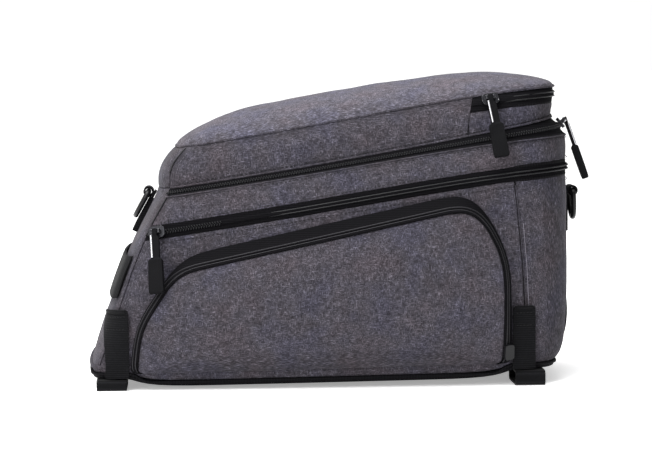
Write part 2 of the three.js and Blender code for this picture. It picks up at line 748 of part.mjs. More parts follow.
function webbingFold(layers, length) {
  const outer = ringWire + ringClearance + ringWebThickness;
  const open = 0.44;
  const reach = outer * Math.cos(open);
  const drop = outer * Math.sin(open);
  const back = -reach - layers * ringWebThickness;
  const shape = new THREE.Shape();
  shape.moveTo(back, drop + webLip);
  shape.lineTo(back, drop - length);
  shape.lineTo(-reach, drop - length);
  shape.lineTo(-reach, -drop);
  shape.absarc(0, 0, outer, Math.PI + open, 3 * Math.PI - open);
  shape.lineTo(-reach, drop + webLip);
  const hole = new THREE.Path();
  hole.absarc(0, 0, ringWire + ringClearance, 0, 2 * Math.PI, true);
  shape.holes.push(hole);
  const fold = new THREE.ExtrudeGeometry(shape,
    { depth: ringWebWidth, bevelEnabled: false, curveSegments: 12 });
  fold.translate(0, 0, -ringWebWidth / 2);
  return { fold, standOff: -back };
}
function addRing(place, wallPoint, up, outward, seat, layers, length, lean) {
  const { fold, standOff } = webbingFold(layers, length);
  const sideways = outward.clone().cross(up);
  fold.applyMatrix4(basis(outward, up, sideways));
  const pivot = wallPoint.clone().addScaledVector(outward, standOff + seat);
  add(`ring_webbing_${place}`, fold, colours.webbing, 0.85).position.copy(pivot);
  const ring = add(`shoulder_ring_${place}`, ringGeometry(), colours.hardware, 0.45);
  ring.position.copy(pivot);
  ring.rotation.y = lean;
}
const bandLow = levels[indexOf('bandBottom')];
const bandHigh = levels[indexOf('bandTop')];
const frontSlope = Math.atan2(bandHigh.front - bandLow.front, bandHigh.frontZ - bandLow.frontZ);
const frontRingLevel = levelAt(indexAtHeight(beyondFront, frontRingHeight - 2));
addRing('front', skinPoint(frontRingLevel, 0.5),
  new THREE.Vector3(Math.sin(frontSlope), 0, Math.cos(frontSlope)),
  new THREE.Vector3(-Math.cos(frontSlope), 0, Math.sin(frontSlope)),
  frontRingSeat, frontWebLayers, frontWebLength, frontSlope);
const rearLean = 0.06;
const rearRingLevel = levelAt(indexAtHeight(rearX, rearRingHeight));
addRing('rear', skinPoint(rearRingLevel, 4.5),
  new THREE.Vector3(0, 0, 1), new THREE.Vector3(1, 0, 0),
  rearRingSeat, rearWebLayers, rearWebLength, -rearLean);

// Zip sliders. In a slider's own frame X runs along the zip, Z stands off the tape, and the pull
// turns on a bar along X.
function sliderGeometry() {
  const plate = new THREE.ExtrudeGeometry(roundedBox(sliderLength, sliderWidth, sliderWidth * 0.35),
    { depth: sliderThickness, bevelEnabled: false, curveSegments: 3 });
  const postX = knuckleWidth / 2 + gap + postThickness / 2;
  const postZ = barHeight + barRadius;
  const posts = [-1, 1].map((side) => block(postThickness, 3, postZ + 0.5,
    side * postX, 0, sliderThickness + (postZ - 0.5) / 2));
  const bar = new THREE.CylinderGeometry(barRadius, barRadius, 2 * postX, 8);
  bar.rotateZ(Math.PI / 2).translate(0, 0, sliderThickness + barHeight);
  return join(plate, ...posts, bar);
}
// A pull hangs down its own -Y from its knuckle, which is on the slider's bar.
function pullGeometry() {
  const eye = new THREE.Shape();
  eye.absarc(0, 0, knuckleRadius, 0, 2 * Math.PI);
  const hole = new THREE.Path();
  hole.absarc(0, 0, barRadius + ringClearance, 0, 2 * Math.PI, true);
  eye.holes.push(hole);
  const knuckle = new THREE.ExtrudeGeometry(eye,
    { depth: knuckleWidth, bevelEnabled: false, curveSegments: 6 });
  knuckle.translate(0, 0, -knuckleWidth / 2).rotateY(Math.PI / 2);
  const neckEnd = knuckleRadius + 1.4;
  const neck = block(knuckleWidth, neckEnd - 1.3, stemThickness, 0, -(neckEnd + 1.3) / 2, 0);
  const stem = block(stemWidth, stemLength, stemThickness, 0, -neckEnd + 0.2 - stemLength / 2, 0);
  const tabTop = neckEnd + stemLength - 0.8;
  const tab = new THREE.ExtrudeGeometry(roundedBox(tabWidth, tabLength, tabCorner),
    { depth: tabThickness, bevelEnabled: false, curveSegments: 2 });
  tab.translate(0, -tabTop - tabLength / 2, -tabThickness / 2);
  return join(knuckle, neck, stem, tab);
}
function addSlider(name, level, turn, lean) {
  const step = 0.01;
  const along = skinPoint(level, turn + step).sub(skinPoint(level, turn - step)).normalize();
  const upper = skinPoint({ ...level.above }, turn);
  const lower = skinPoint({ ...level.below }, turn);
  const outward = along.clone().cross(upper.sub(lower)).normalize();
  const up = outward.clone().cross(along);
  const seat = skinPoint(level, turn).addScaledVector(outward, chainProud + gap);
  const frame = basis(along, up, outward);
  const slider = add(`${name}_slider`, sliderGeometry(), colours.hardware, 0.5, 0.3);
  slider.position.copy(seat);
  slider.setRotationFromMatrix(frame);
  const pull = add(`${name}_pull`, pullGeometry(), colours.pull, 0.7);
  pull.position.copy(seat).addScaledVector(outward, sliderThickness + barHeight);
  pull.setRotationFromMatrix(frame.clone().multiply(new THREE.Matrix4().makeRotationX(-lean)));
}
function tapeMiddle(from, to) {
  const start = indexOf(from);
  const end = indexOf(to);
  return { ...levelAt((start + end) / 2), above: levels[end], below: levels[start] };
}
const expansionLevel = tapeMiddle('tubTop', 'bandBottom');
const expansionSliderX = frontEnd + expansionSliderInset;
addSlider('expansion_zip', expansionLevel, turnAtX(expansionLevel, expansionSliderX),
  expansionPullLean);
const lidZipLevel = tapeMiddle('lidMiddle', 'lidSeam');
const lidSliderX = rearEnd - lidSliderInset;
addSlider('lid_zip', lidZipLevel, turnAtX(lidZipLevel, lidSliderX), lidPullLean);
const mainLevel = tapeMiddle('bandTop', 'lidBottom');
addSlider('main_zip', mainLevel, 4.5 + mainSliderY / 2 / (mainLevel.half - mainLevel.rearR),
  mainPullLean);

// The pocket zips' sliders sit at the rear lower end of the bands.
const sliderPlace = pocketLoop.length - bottomPoints - cornerCuts - 1;
const sliderShare = 0.14;
for (const [name, side] of [['near', -1], ['far', 1]]) {
  const chainLow = bandPoint(sliderPlace, bandRows[2], false, side);
  const chainHigh = bandPoint(sliderPlace, bandRows[3], false, side);
  const along = bandPoint(sliderPlace - 1, bandRows[2], false, side).sub(chainLow);
  const outward = chainHigh.clone().sub(chainLow).cross(along).multiplyScalar(side).normalize();
  const centre = chainLow.clone().add(chainHigh).multiplyScalar(0.5).addScaledVector(along, sliderShare);
  const across = outward.clone().cross(along.normalize());
  const plate = new THREE.ExtrudeGeometry(roundedBox(pocketSliderLength, pocketSliderWidth, 2.4),
    { depth: pocketSliderThickness, bevelEnabled: false, curveSegments: 3 });
  const slider = add(`pocket_slider_${name}`, plate, colours.hardware, 0.5, 0.3);
  slider.position.copy(centre).addScaledVector(outward, 3 * gap);
  slider.setRotationFromMatrix(basis(along, across, outward));
}

// The origin is under the middle of the whole bag, on the surface that it stands on.
const bounds = new THREE.Box3().setFromObject(bag);
const middle = bounds.getCenter(new THREE.Vector3());
for (const mesh of bag.children) mesh.position.sub(new THREE.Vector3(middle.x, 0, bounds.min.z));

export default bag;
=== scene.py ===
# %% [markdown]
# # A trunk bag for a bicycle rack
# The bag is a padded box of heather cloth that tapers towards its low front. Black zips run round
# it, a pocket bulges on each side, and webbing straps hold it on the rack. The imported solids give
# the sizes and places. This lesson dresses them: each soft solid is copied, softened and swollen,
# then the chains, welts, stitches and finishes are added on it.

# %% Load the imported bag
import json
import math

import bmesh
import bpy
import numpy as np
from mathutils import Matrix, Vector, kdtree, noise


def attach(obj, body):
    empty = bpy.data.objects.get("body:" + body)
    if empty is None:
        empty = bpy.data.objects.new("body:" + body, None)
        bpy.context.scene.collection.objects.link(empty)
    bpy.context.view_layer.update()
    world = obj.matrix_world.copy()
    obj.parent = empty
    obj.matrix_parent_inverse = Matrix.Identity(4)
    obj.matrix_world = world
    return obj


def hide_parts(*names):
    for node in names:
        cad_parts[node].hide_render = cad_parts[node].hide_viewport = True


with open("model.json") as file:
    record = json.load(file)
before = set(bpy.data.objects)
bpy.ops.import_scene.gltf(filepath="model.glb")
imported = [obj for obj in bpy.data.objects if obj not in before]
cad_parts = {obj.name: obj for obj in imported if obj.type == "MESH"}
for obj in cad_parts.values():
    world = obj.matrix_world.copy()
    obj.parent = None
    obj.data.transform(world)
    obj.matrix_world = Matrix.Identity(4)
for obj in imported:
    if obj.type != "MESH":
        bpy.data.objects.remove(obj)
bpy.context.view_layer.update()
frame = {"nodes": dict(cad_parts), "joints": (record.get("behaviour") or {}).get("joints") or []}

# %% [markdown]
# ## Helpers for selecting and for modifiers
# Operators work on whatever is selected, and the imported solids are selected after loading. So each
# step first selects one object alone. Modifiers are applied at once, which keeps the places in the
# mesh and leaves nothing live on a finished piece.

# %% Select one object, and apply a modifier to it
MM = 0.001


def only(piece):
    """Selects one object alone and makes it the active one."""
    bpy.ops.object.select_all(action="DESELECT")
    piece.select_set(True)
    bpy.context.view_layer.objects.active = piece


def apply_modifier(piece, kind, **settings):
    """Adds a modifier with its settings and applies it."""
    only(piece)
    modifier = piece.modifiers.new(kind.lower(), kind)
    for name, value in settings.items():
        setattr(modifier, name, value)
    bpy.ops.object.modifier_apply(modifier=modifier.name)


def places(piece):
    """The piece's vertices as rows of x, y and z."""
    values = np.empty(len(piece.data.vertices) * 3)
    piece.data.vertices.foreach_get("co", values)
    return values.reshape(-1, 3)


def place_all(piece, values):
    """Writes the vertices' places back."""
    piece.data.vertices.foreach_set("co", np.asarray(values).ravel())
    piece.data.update()


def new_mesh(name, points, faces):
    """A piece from points and faces, linked to the scene."""
    mesh = bpy.data.meshes.new(name)
    mesh.from_pydata([tuple(point) for point in points], [], faces)
    mesh.update()
    piece = bpy.data.objects.new(name, mesh)
    bpy.context.collection.objects.link(piece)
    return piece


# %% [markdown]
# ## Helpers for finishes
# Every finish is a small node tree. One function turns a colour, written as it looks on a screen,
# to the linear numbers that the shader works in. Another adds a node with its settings and links.

# %% Colours and shader nodes
def colour(code):
    """Linear colour with full opacity from an sRGB hex value such as "4A474D"."""
    parts = [int(code[i:i + 2], 16) / 255 for i in (0, 2, 4)]
    linear = [p / 12.92 if p <= 0.04045 else ((p + 0.055) / 1.055) ** 2.4 for p in parts]
    return (*linear, 1.0)


def add_node(tree, kind, inputs=None, stops=None, **settings):
    """Adds a shader node. An input is a number, a colour, or another node's output."""
    item = tree.nodes.new(kind)
    for name, value in settings.items():
        setattr(item, name, value)
    for name, value in (inputs or {}).items():
        if isinstance(value, bpy.types.NodeSocket):
            tree.links.new(value, item.inputs[name])
        else:
            item.inputs[name].default_value = value
    if stops:
        ramp = item.color_ramp
        while len(ramp.elements) < len(stops):
            ramp.elements.new(0.5)
        for element, (position, value) in zip(ramp.elements, stops):
            element.position = position
            element.color = value
    return item


def new_finish(name):
    """An empty node material, its shader and its object coordinates."""
    finish = bpy.data.materials.new(name)
    finish.use_nodes = True
    tree = finish.node_tree
    tree.nodes.clear()
    shader = add_node(tree, "ShaderNodeBsdfPrincipled")
    output = add_node(tree, "ShaderNodeOutputMaterial", {"Surface": shader.outputs[0]})
    output.location = (400, 0)
    coordinates = add_node(tree, "ShaderNodeTexCoord").outputs["Object"]
    return finish, tree, shader, coordinates


# %% [markdown]
# ## Heather polyester
# The walls are 600 denier polyester, woven plain from yarns of two greys. Up close it is a dark
# charcoal cloth with short pale flecks along both thread directions, and it leans to violet in
# some places and to brown in others. Real threads lie about 0.5 mm apart, which is finer than one
# pixel of the render, so the flecks are drawn 0.6 mm wide and 3 mm long. Three stretched
# noises make them, one for each direction that a thread may run in, so the cloth looks woven on
# the sides, on the ends and on top. Their brightest parts are the pale yarns. The same noises lift
# the surface a little, and sheen gives the soft edge light of a hairy yarn.

# %% Heather polyester, for the walls and for the lid's top
FLECK = 0.6 * MM


def heather(name, dark, middle, pale, lift=0.6):
    finish, tree, shader, spot = new_finish(name)
    # A yarn never runs into the cloth, so each noise fades out where the cloth faces its length.
    facing = add_node(tree, "ShaderNodeVectorMath", {
        0: add_node(tree, "ShaderNodeNewGeometry").outputs["True Normal"]}, operation="ABSOLUTE")
    parts = add_node(tree, "ShaderNodeSeparateXYZ", {0: facing.outputs[0]})
    yarns = []
    for axis, stretch in enumerate(((0.2, 1, 1), (1, 0.2, 1), (1, 1, 0.2))):
        along = add_node(tree, "ShaderNodeMapping", {"Vector": spot, "Scale": stretch})
        grain = add_node(tree, "ShaderNodeTexNoise", {
            "Vector": along.outputs[0], "Scale": 1 / FLECK, "Detail": 2.0, "Roughness": 0.6})
        shown = add_node(tree, "ShaderNodeMapRange", {
            "Value": parts.outputs[axis], "From Min": 0.45, "From Max": 0.8, "To Min": 1.0,
            "To Max": 0.0})
        yarns.append(add_node(tree, "ShaderNodeMath", {
            0: grain.outputs["Fac"], 1: shown.outputs[0]}, operation="MULTIPLY").outputs[0])
    crossed = add_node(tree, "ShaderNodeMath", {0: yarns[0], 1: yarns[1]}, operation="MAXIMUM")
    woven = add_node(tree, "ShaderNodeMath", {0: crossed.outputs[0], 1: yarns[2]},
                     operation="MAXIMUM")
    grey = add_node(tree, "ShaderNodeValToRGB", {"Fac": woven.outputs[0]}, stops=[
        (0.40, colour(dark)), (0.58, colour(middle)), (0.78, colour(pale))])
    # Dye takes unevenly, in soft patches about 30 mm across: some lean to blue, some to brown.
    patch = add_node(tree, "ShaderNodeTexNoise", {
        "Vector": spot, "Scale": 1 / (30 * MM), "Detail": 3.0, "Roughness": 0.55})
    tint = add_node(tree, "ShaderNodeValToRGB", {"Fac": patch.outputs["Fac"]}, stops=[
        (0.34, colour("ECEDFD")), (0.5, colour("F6F4F8")), (0.68, colour("FCF2F2"))])
    cloth = add_node(tree, "ShaderNodeMix", {0: 1.0, 6: grey.outputs[0], 7: tint.outputs[0]},
                     data_type="RGBA", blend_type="MULTIPLY")
    # Small clouds of lighter and darker yarn, 5 mm across, break up the even grey.
    cloud = add_node(tree, "ShaderNodeTexNoise", {
        "Vector": spot, "Scale": 1 / (5 * MM), "Detail": 4.0, "Roughness": 0.7})
    shade = add_node(tree, "ShaderNodeValToRGB", {"Fac": cloud.outputs["Fac"]}, stops=[
        (0.34, colour("C8C8C8")), (0.62, colour("FFFFFF"))])
    full = add_node(tree, "ShaderNodeMix", {0: 1.0, 6: cloth.outputs[2], 7: shade.outputs[0]},
                    data_type="RGBA", blend_type="MULTIPLY")
    tree.links.new(full.outputs[2], shader.inputs["Base Color"])
    bump = add_node(tree, "ShaderNodeBump", {
        "Height": woven.outputs[0], "Strength": lift, "Distance": 0.5 * MM})
    tree.links.new(bump.outputs[0], shader.inputs["Normal"])
    shader.inputs["Roughness"].default_value = 0.92
    shader.inputs["Specular IOR Level"].default_value = 0.12
    shader.inputs["Sheen Weight"].default_value = 0.03
    shader.inputs["Sheen Roughness"].default_value = 0.45
    return finish


side_cloth = heather("heather_polyester", "252327", "3A383D", "69666F")
# The lid's top gets a paler copy of the same cloth. This is painted light: the top is paler because
# it faces the lamp above.
painted_light_top_cloth = heather("heather_polyester_painted_lit_top", "333135", "504E55", "7F7C86")
print("heather cloth:", side_cloth.name, "and", painted_light_top_cloth.name)

# %% [markdown]
# ## Nylon tape, webbing and base cloth
# Zip tapes are dense nylon, almost black, with a fine rib along the chain. Webbing is woven
# polypropylene: its weft makes ribs across the strap, about 1.6 mm apart, which catch the light as
# fine lines. The base is coated cloth, smoother and a little shiny. All three are ribs of one wave
# texture at different pitches, over a faint grey variation.

# %% Ribbed black cloths
def ribbed(name, base, pale, axis, pitch, roughness=0.8, strength=0.5, sheen=0.03):
    """Black cloth with ribs whose crests are pitch apart along an axis."""
    finish, tree, shader, spot = new_finish(name)
    # The wave texture repeats every 2 pi / 20 of its own unit.
    ribs = add_node(tree, "ShaderNodeTexWave", {
        "Vector": spot, "Scale": math.pi / 10 / pitch, "Distortion": 0.4, "Detail": 1.0,
        "Detail Scale": 2.0,
    }, wave_type="BANDS", bands_direction=axis)
    hair = add_node(tree, "ShaderNodeTexNoise", {
        "Vector": spot, "Scale": 1 / (1.2 * MM), "Detail": 3.0, "Roughness": 0.6})
    mixed = add_node(tree, "ShaderNodeMath", {0: ribs.outputs["Fac"], 1: hair.outputs["Fac"]},
                     operation="MULTIPLY")
    grey = add_node(tree, "ShaderNodeValToRGB", {"Fac": mixed.outputs[0]}, stops=[
        (0.05, colour(base)), (0.6, colour(pale))])
    tree.links.new(grey.outputs[0], shader.inputs["Base Color"])
    bump = add_node(tree, "ShaderNodeBump", {
        "Height": mixed.outputs[0], "Strength": strength, "Distance": 0.35 * MM})
    tree.links.new(bump.outputs[0], shader.inputs["Normal"])
    shader.inputs["Roughness"].default_value = roughness
    shader.inputs["Specular IOR Level"].default_value = 0.04
    shader.inputs["Sheen Weight"].default_value = sheen
    return finish


tape_cloth = ribbed("nylon_zip_tape", "050506", "0D0C0F", "Z", 1.3 * MM, 0.85, 0.4, 0.0)
webbing_tall = ribbed("polypropylene_webbing_upright", "050506", "131315", "Z", 1.7 * MM)
webbing_across = ribbed("polypropylene_webbing_across", "070708", "131315", "Y", 1.7 * MM)
base_cloth = ribbed("coated_base_cloth", "060607", "100F12", "X", 2.2 * MM, 0.65, 0.25, 0.0)
print("black cloths:", [m.name for m in (tape_cloth, webbing_tall, webbing_across, base_cloth)])

# %% [markdown]
# ## Hard finishes and thread
# The coil of a zip is nylon monofilament, dark and glossy. Sliders are zinc: the three large ones
# are plated black and rubbed bright at their corners, and the pockets' own are lacquered. The pins
# of the pulls are nickel-plated wire. Pull tabs are moulded rubber with a dull skin that hardly
# mirrors, and the shoulder rings are moulded acetal, which shows soft highlights. Thread is
# polyester: grey on the cloth and black where it holds tape. A paler thread along the rear seam is
# painted highlight, for the light line on the seam's fold. The fine grain of each breaks up the
# highlight, as a mould's or a spinner's marks do.

# %% Moulded, plated and spun finishes
def moulded(name, base, pale, grain, roughness, metallic=0.0, relief=0.1, wear=0.0, gloss=0.2):
    """A hard finish: a fine two-tone grain, its relief, and bright rubbed edges if wear is set."""
    finish, tree, shader, spot = new_finish(name)
    grit = add_node(tree, "ShaderNodeTexNoise", {
        "Vector": spot, "Scale": 1 / grain, "Detail": 4.0, "Roughness": 0.6})
    tone = add_node(tree, "ShaderNodeValToRGB", {"Fac": grit.outputs["Fac"]}, stops=[
        (0.35, colour(base)), (0.7, colour(pale))])
    result = tone.outputs[0]
    if wear:
        shape = add_node(tree, "ShaderNodeNewGeometry").outputs["Pointiness"]
        edge = add_node(tree, "ShaderNodeMapRange", {
            "Value": shape, "From Min": 0.52, "From Max": 0.62, "To Max": wear})
        rubbed = add_node(tree, "ShaderNodeMix", {
            0: edge.outputs[0], 6: result, 7: colour("C9C9CC")}, data_type="RGBA")
        result = rubbed.outputs[2]
    tree.links.new(result, shader.inputs["Base Color"])
    rough = add_node(tree, "ShaderNodeMapRange", {
        "Value": grit.outputs["Fac"], "To Min": roughness - 0.08, "To Max": roughness + 0.08})
    tree.links.new(rough.outputs[0], shader.inputs["Roughness"])
    bump = add_node(tree, "ShaderNodeBump", {
        "Height": grit.outputs["Fac"], "Strength": relief, "Distance": 0.1 * MM})
    tree.links.new(bump.outputs[0], shader.inputs["Normal"])
    shader.inputs["Metallic"].default_value = metallic
    if not metallic:
        shader.inputs["Specular IOR Level"].default_value = gloss
    return finish


coil_nylon = moulded("nylon_coil", "08080A", "121214", 1.0 * MM, 0.42)
# Black cord: the real cords on the pockets, and painted shade where it is used for the dark groove
# of a seam.
piping_and_seam_shade = moulded("piping_cord_and_seam_shade", "111013", "1E1D21", 0.6 * MM, 0.6, relief=0.3)
slider_lacquer = moulded("black_lacquered_zinc", "08080A", "101012", 0.6 * MM, 0.4)
slider_zinc = moulded("black_plated_zinc", "151517", "242428", 0.6 * MM, 0.32, metallic=0.85,
                      wear=0.8)
pin_nickel = moulded("nickel_plated_wire", "A9A9AC", "CFCFD2", 0.8 * MM, 0.25, metallic=1.0)
tab_rubber = moulded("moulded_rubber", "060607", "0D0D0F", 0.5 * MM, 0.75, relief=0.3, gloss=0.05)
ring_acetal = moulded("moulded_acetal", "050506", "0D0D0F", 0.8 * MM, 0.36)
# Painted highlight: a paler thread for the light line along the rear seam's fold.
seam_highlight_thread = moulded("polyester_thread_painted_highlight", "4E4B53", "716E77", 0.5 * MM, 0.7, relief=0.3)
thread = moulded("polyester_thread", "3A383D", "55525A", 0.5 * MM, 0.7, relief=0.3)
black_thread = moulded("black_polyester_thread", "09090A", "111012", 0.5 * MM, 0.7, relief=0.3)
print("hard finishes:", [m.name for m in (coil_nylon, slider_zinc, pin_nickel, tab_rubber)])

# %% [markdown]
# ## The skin that the bag follows
# The walls, tapes and seams all lie on one skin. It is a stack of rounded outlines, each with its
# own ends, width, corner radii and height, and each climbing to the tall rear. With the skin as a
# function, a chain, a welt or a row of stitches can be laid at any level and any turn round the
# bag. The bag's own x starts 8.902 mm in front of the frame's, whose origin is under its middle.

# %% Outlines of the skin, in millimetres
FRAME_X = -8.902
LENGTH, WIDTH, HEIGHT = 378, 177, 240
FRONT_END = -188.017
WALL_BOTTOM = 12.6
SIDE_BOW, END_BOW, BASE_SAG = 2, 2.5, 6.5
SAG_FROM, SAG_TO, SAG_RAMP = -155, 138, 14
LEVELS = {
    # name: front, rear, half width, front z, rear z, front and rear radius, sag, lift, as shares
    "bottom": (0.003, 0.968, 0.977, 0.000, 0.017, 0.113, 0.175, 1.0, 0.000),
    "hem": (0.000, 0.984, 0.994, 0.022, 0.037, 0.113, 0.192, 0.8, 0.000),
    "foot": (0.009, 0.993, 1.000, 0.059, 0.085, 0.113, 0.203, 0.4, 0.000),
    "low": (0.025, 0.997, 1.000, 0.129, 0.200, 0.113, 0.209, 0.0, 0.000),
    "middle": (0.046, 1.000, 1.000, 0.230, 0.362, 0.113, 0.226, 0.0, 0.000),
    "high": (0.069, 1.000, 0.989, 0.340, 0.516, 0.113, 0.243, 0.0, 0.000),
    "tub_top": (0.095, 1.000, 0.969, 0.442, 0.657, 0.113, 0.260, 0.0, 0.000),
    "band_bottom": (0.108, 1.000, 0.956, 0.488, 0.703, 0.113, 0.258, 0.0, 0.000),
    "band_middle": (0.124, 1.001, 0.940, 0.536, 0.747, 0.113, 0.250, 0.0, 0.000),
    "band_top": (0.141, 0.999, 0.910, 0.587, 0.789, 0.118, 0.240, 0.0, 0.000),
    "lid_bottom": (0.144, 0.968, 0.814, 0.615, 0.815, 0.136, 0.192, 0.0, 0.036),
    "lid_low": (0.143, 0.970, 0.825, 0.657, 0.859, 0.136, 0.192, 0.0, 0.018),
    "lid_middle": (0.153, 0.972, 0.817, 0.701, 0.903, 0.136, 0.192, 0.0, 0.000),
    "lid_high": (0.169, 0.974, 0.791, 0.734, 0.934, 0.136, 0.192, 0.0, 0.000),
    "lid_seam": (0.183, 0.976, 0.751, 0.756, 0.957, 0.136, 0.192, 0.0, 0.000),
}
ORDER = list(LEVELS)


def level(low, high=None, share=0.5):
    """A level by name, or one between two names."""
    one = np.array(LEVELS[low])
    return one if high is None else one + (np.array(LEVELS[high]) - one) * share


def level_between(place):
    """The level at a place in the order: 2.5 is halfway from the third to the fourth."""
    low = min(int(place), len(ORDER) - 2)
    return level(ORDER[low], ORDER[low + 1], place - low)


def ease(value):
    """Smooth step from 0 to 1."""
    value = min(max(value, 0), 1)
    return value * value * (3 - 2 * value)


def skin(at, turn, out=0.0):
    """A point of a level's outline, in metres. Turn 0 is the front's middle left, 2 to 3 the near
    side, 4 to 5 the rear end, 6 to 7 the far side, and out stands off the skin."""
    front = FRONT_END + at[0] * LENGTH + END_BOW
    rear = FRONT_END + at[1] * LENGTH - END_BOW
    half = at[2] * WIDTH / 2 - SIDE_BOW
    front_r, rear_r = at[5] * WIDTH, at[6] * WIDTH
    turn %= 8
    far = turn > 5
    t = 9 - turn if far else turn
    if t < 1:
        across = t * 2 - 1
        x = front - END_BOW * (1 - across * across) - out
        y = (half - front_r) * across
    elif t <= 2:
        angle = (t - 1) * math.pi / 2
        x = front + front_r - (front_r + out) * math.cos(angle)
        y = half - front_r + (front_r + out) * math.sin(angle)
    elif t <= 3:
        share = t - 2
        x = front + front_r + (rear - rear_r - front - front_r) * share
        y = half + SIDE_BOW * 4 * share * (1 - share) + out
    elif t <= 4:
        angle = (t - 3) * math.pi / 2
        x = rear - rear_r + (rear_r + out) * math.sin(angle)
        y = half - rear_r + (rear_r + out) * math.cos(angle)
    else:
        across = 1 - (t - 4) * 2
        x = rear + END_BOW * (1 - across * across) + out
        y = (half - rear_r) * across
    # Levels climb to the rear, a little faster past the middle, and some lift at the very rear.
    # The two near the floor sag between the rack loops.
    rise = HEIGHT - WALL_BOTTOM
    along = min(max((x - front + END_BOW) / (rear - front + 2 * END_BOW), 0), 1)
    climb = along + 0.6 * along ** 3 * (1 - along)
    z = WALL_BOTTOM + rise * (at[3] + (at[4] - at[3]) * climb) + at[8] * HEIGHT * along ** 6
    z -= at[7] * BASE_SAG * ease((x - SAG_FROM) / SAG_RAMP) * ease((SAG_TO - x) / SAG_RAMP)
    return Vector((x + FRAME_X, y if far else -y, z)) * MM


print("rear top of the lid's seam:", skin(level("lid_seam"), 4.5))

# %% [markdown]
# ## Walking along the skin
# A chain has a tooth every few millimetres and a seam a stitch, so both need points at an even
# distance along a curve, with the directions along it, off the skin and up the skin.

# %% Evenly spaced frames along a curve on the skin
def walk(curve, pitch):
    """Frames (point, along, outward, upward) a pitch apart. The curve gives a point and a point
    further out for a share from 0 to 1."""
    shares = np.linspace(0, 1, 900)
    points = np.array([curve(share)[0] for share in shares])
    steps = np.linalg.norm(np.diff(points, axis=0), axis=1)
    reach = np.concatenate([[0], np.cumsum(steps)])
    frames = []
    for distance in np.arange(pitch / 2, reach[-1], pitch):
        share = float(np.interp(distance, reach, shares))
        point, off = curve(share)
        ahead, behind = curve(min(share + 0.002, 1))[0], curve(max(share - 0.002, 0))[0]
        along = (ahead - behind).normalized()
        outward = (off - point)
        outward = (outward - along * outward.dot(along)).normalized()
        frames.append((point, along, outward, outward.cross(along)))
    return frames


def on_skin(at, turn, out, down=0.0):
    """A point on the skin and one 1 mm further out, both lowered by some millimetres."""
    drop = Vector((0, 0, -down * MM))
    return skin(at, turn, out) + drop, skin(at, turn, out + 1) + drop


def round_bag(at, start, stop, out, down=0.0):
    """A curve round the bag at one level, from one turn to another."""
    def curve(share):
        return on_skin(at, start + (stop - start) * share, out, down)
    return curve


def up_bag(names, turn, out):
    """A curve up the bag along a seam, from the first named level to the last."""
    first, last = ORDER.index(names[0]), ORDER.index(names[1])

    def curve(share):
        return on_skin(level_between(first + (last - first) * share), turn, out)
    return curve


def copies(name, model, frames, finish):
    """One piece from many copies of a small model, each turned to its frame: the model's x runs
    along the curve, its y up the skin and its z off it. The model itself is removed."""
    base = places(model)
    faces = [tuple(face.vertices) for face in model.data.polygons]
    points, polygons = [], []
    for index, (point, along, outward, upward) in enumerate(frames):
        turned = base @ np.array([along, upward, outward])
        points.extend(turned + np.array(point))
        start = index * len(base)
        polygons.extend([tuple(corner + start for corner in face) for face in faces])
    bpy.data.objects.remove(model)
    piece = new_mesh(name, points, polygons)
    piece.data.materials.append(finish)
    only(piece)
    bpy.ops.object.shade_smooth()
    return piece


def tube(name, runs, radius, finish, closed=False):
    """A round cord along each run of points, made as a bevelled curve and turned to a mesh."""
    data = bpy.data.curves.new(name, "CURVE")
    data.dimensions = "3D"
    data.bevel_depth = radius
    data.bevel_resolution = 2
    data.use_fill_caps = True
    for run in runs:
        spline = data.splines.new("POLY")
        spline.points.add(len(run) - 1)
        for spot, point in zip(spline.points, run):
            spot.co = (*point, 1)
        spline.use_cyclic_u = closed
    piece = bpy.data.objects.new(name, data)
    bpy.context.collection.objects.link(piece)
    only(piece)
    bpy.ops.object.convert(target="MESH")
    piece = bpy.context.view_layer.objects.active
    piece.data.materials.append(finish)
    bpy.ops.object.shade_smooth()
    return piece


def cordage(name, curves, radius, finish, pitch=4 * MM, closed=False):
    """A round cord along curves on the skin."""
    runs = [[step[0] for step in walk(curve, pitch)] for curve in curves]
    return tube(name, runs, radius, finish, closed)


# %% [markdown]
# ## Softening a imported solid
# A packed panel is a closed sheet of flat facets. Its copy is welded and its triangles joined to
# quads, so that a bevel can round its rim like a turned-in hem, and a subdivision surface can
# smooth the rest. Two neighbours with rounded rims leave the groove that a seam makes.

# %% Copy, weld, round and smooth
def copy_of(node, name):
    """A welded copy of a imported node, with quads where its triangles allow."""
    mesh = frame["nodes"][node].data.copy()
    mesh.name = name
    mesh.materials.clear()
    piece = bpy.data.objects.new(name, mesh)
    bpy.context.collection.objects.link(piece)
    only(piece)
    bpy.ops.object.mode_set(mode="EDIT")
    bpy.ops.mesh.select_all(action="SELECT")
    bpy.ops.mesh.customdata_custom_splitnormals_clear()
    bpy.ops.mesh.remove_doubles(threshold=0.02 * MM)
    bpy.ops.mesh.tris_convert_to_quads(
        face_threshold=math.radians(70), shape_threshold=math.radians(70))
    bpy.ops.object.mode_set(mode="OBJECT")
    return piece


SHARP = 50


def rim_tree(piece):
    """A search tree of points, about 2 mm apart, along the piece's sharp edges."""
    shape = bmesh.new()
    shape.from_mesh(piece.data)
    found = []
    for edge in shape.edges:
        if len(edge.link_faces) == 2 and edge.calc_face_angle() > math.radians(SHARP):
            a, b = (vertex.co for vertex in edge.verts)
            cuts = max(int((b - a).length / (2 * MM)), 1)
            found += [a.lerp(b, cut / cuts) for cut in range(cuts + 1)]
    shape.free()
    tree = kdtree.KDTree(len(found))
    for index, point in enumerate(found):
        tree.insert(point, index)
    tree.balance()
    return tree


def smooth_edges(piece, edge, levels, angle=SHARP):
    """Rounds the sharp edges and smooths the rest."""
    apply_modifier(piece, "BEVEL", width=edge, segments=2, limit_method="ANGLE",
                   angle_limit=math.radians(angle))
    apply_modifier(piece, "SUBSURF", levels=levels, render_levels=levels)
    only(piece)
    bpy.ops.object.shade_smooth()


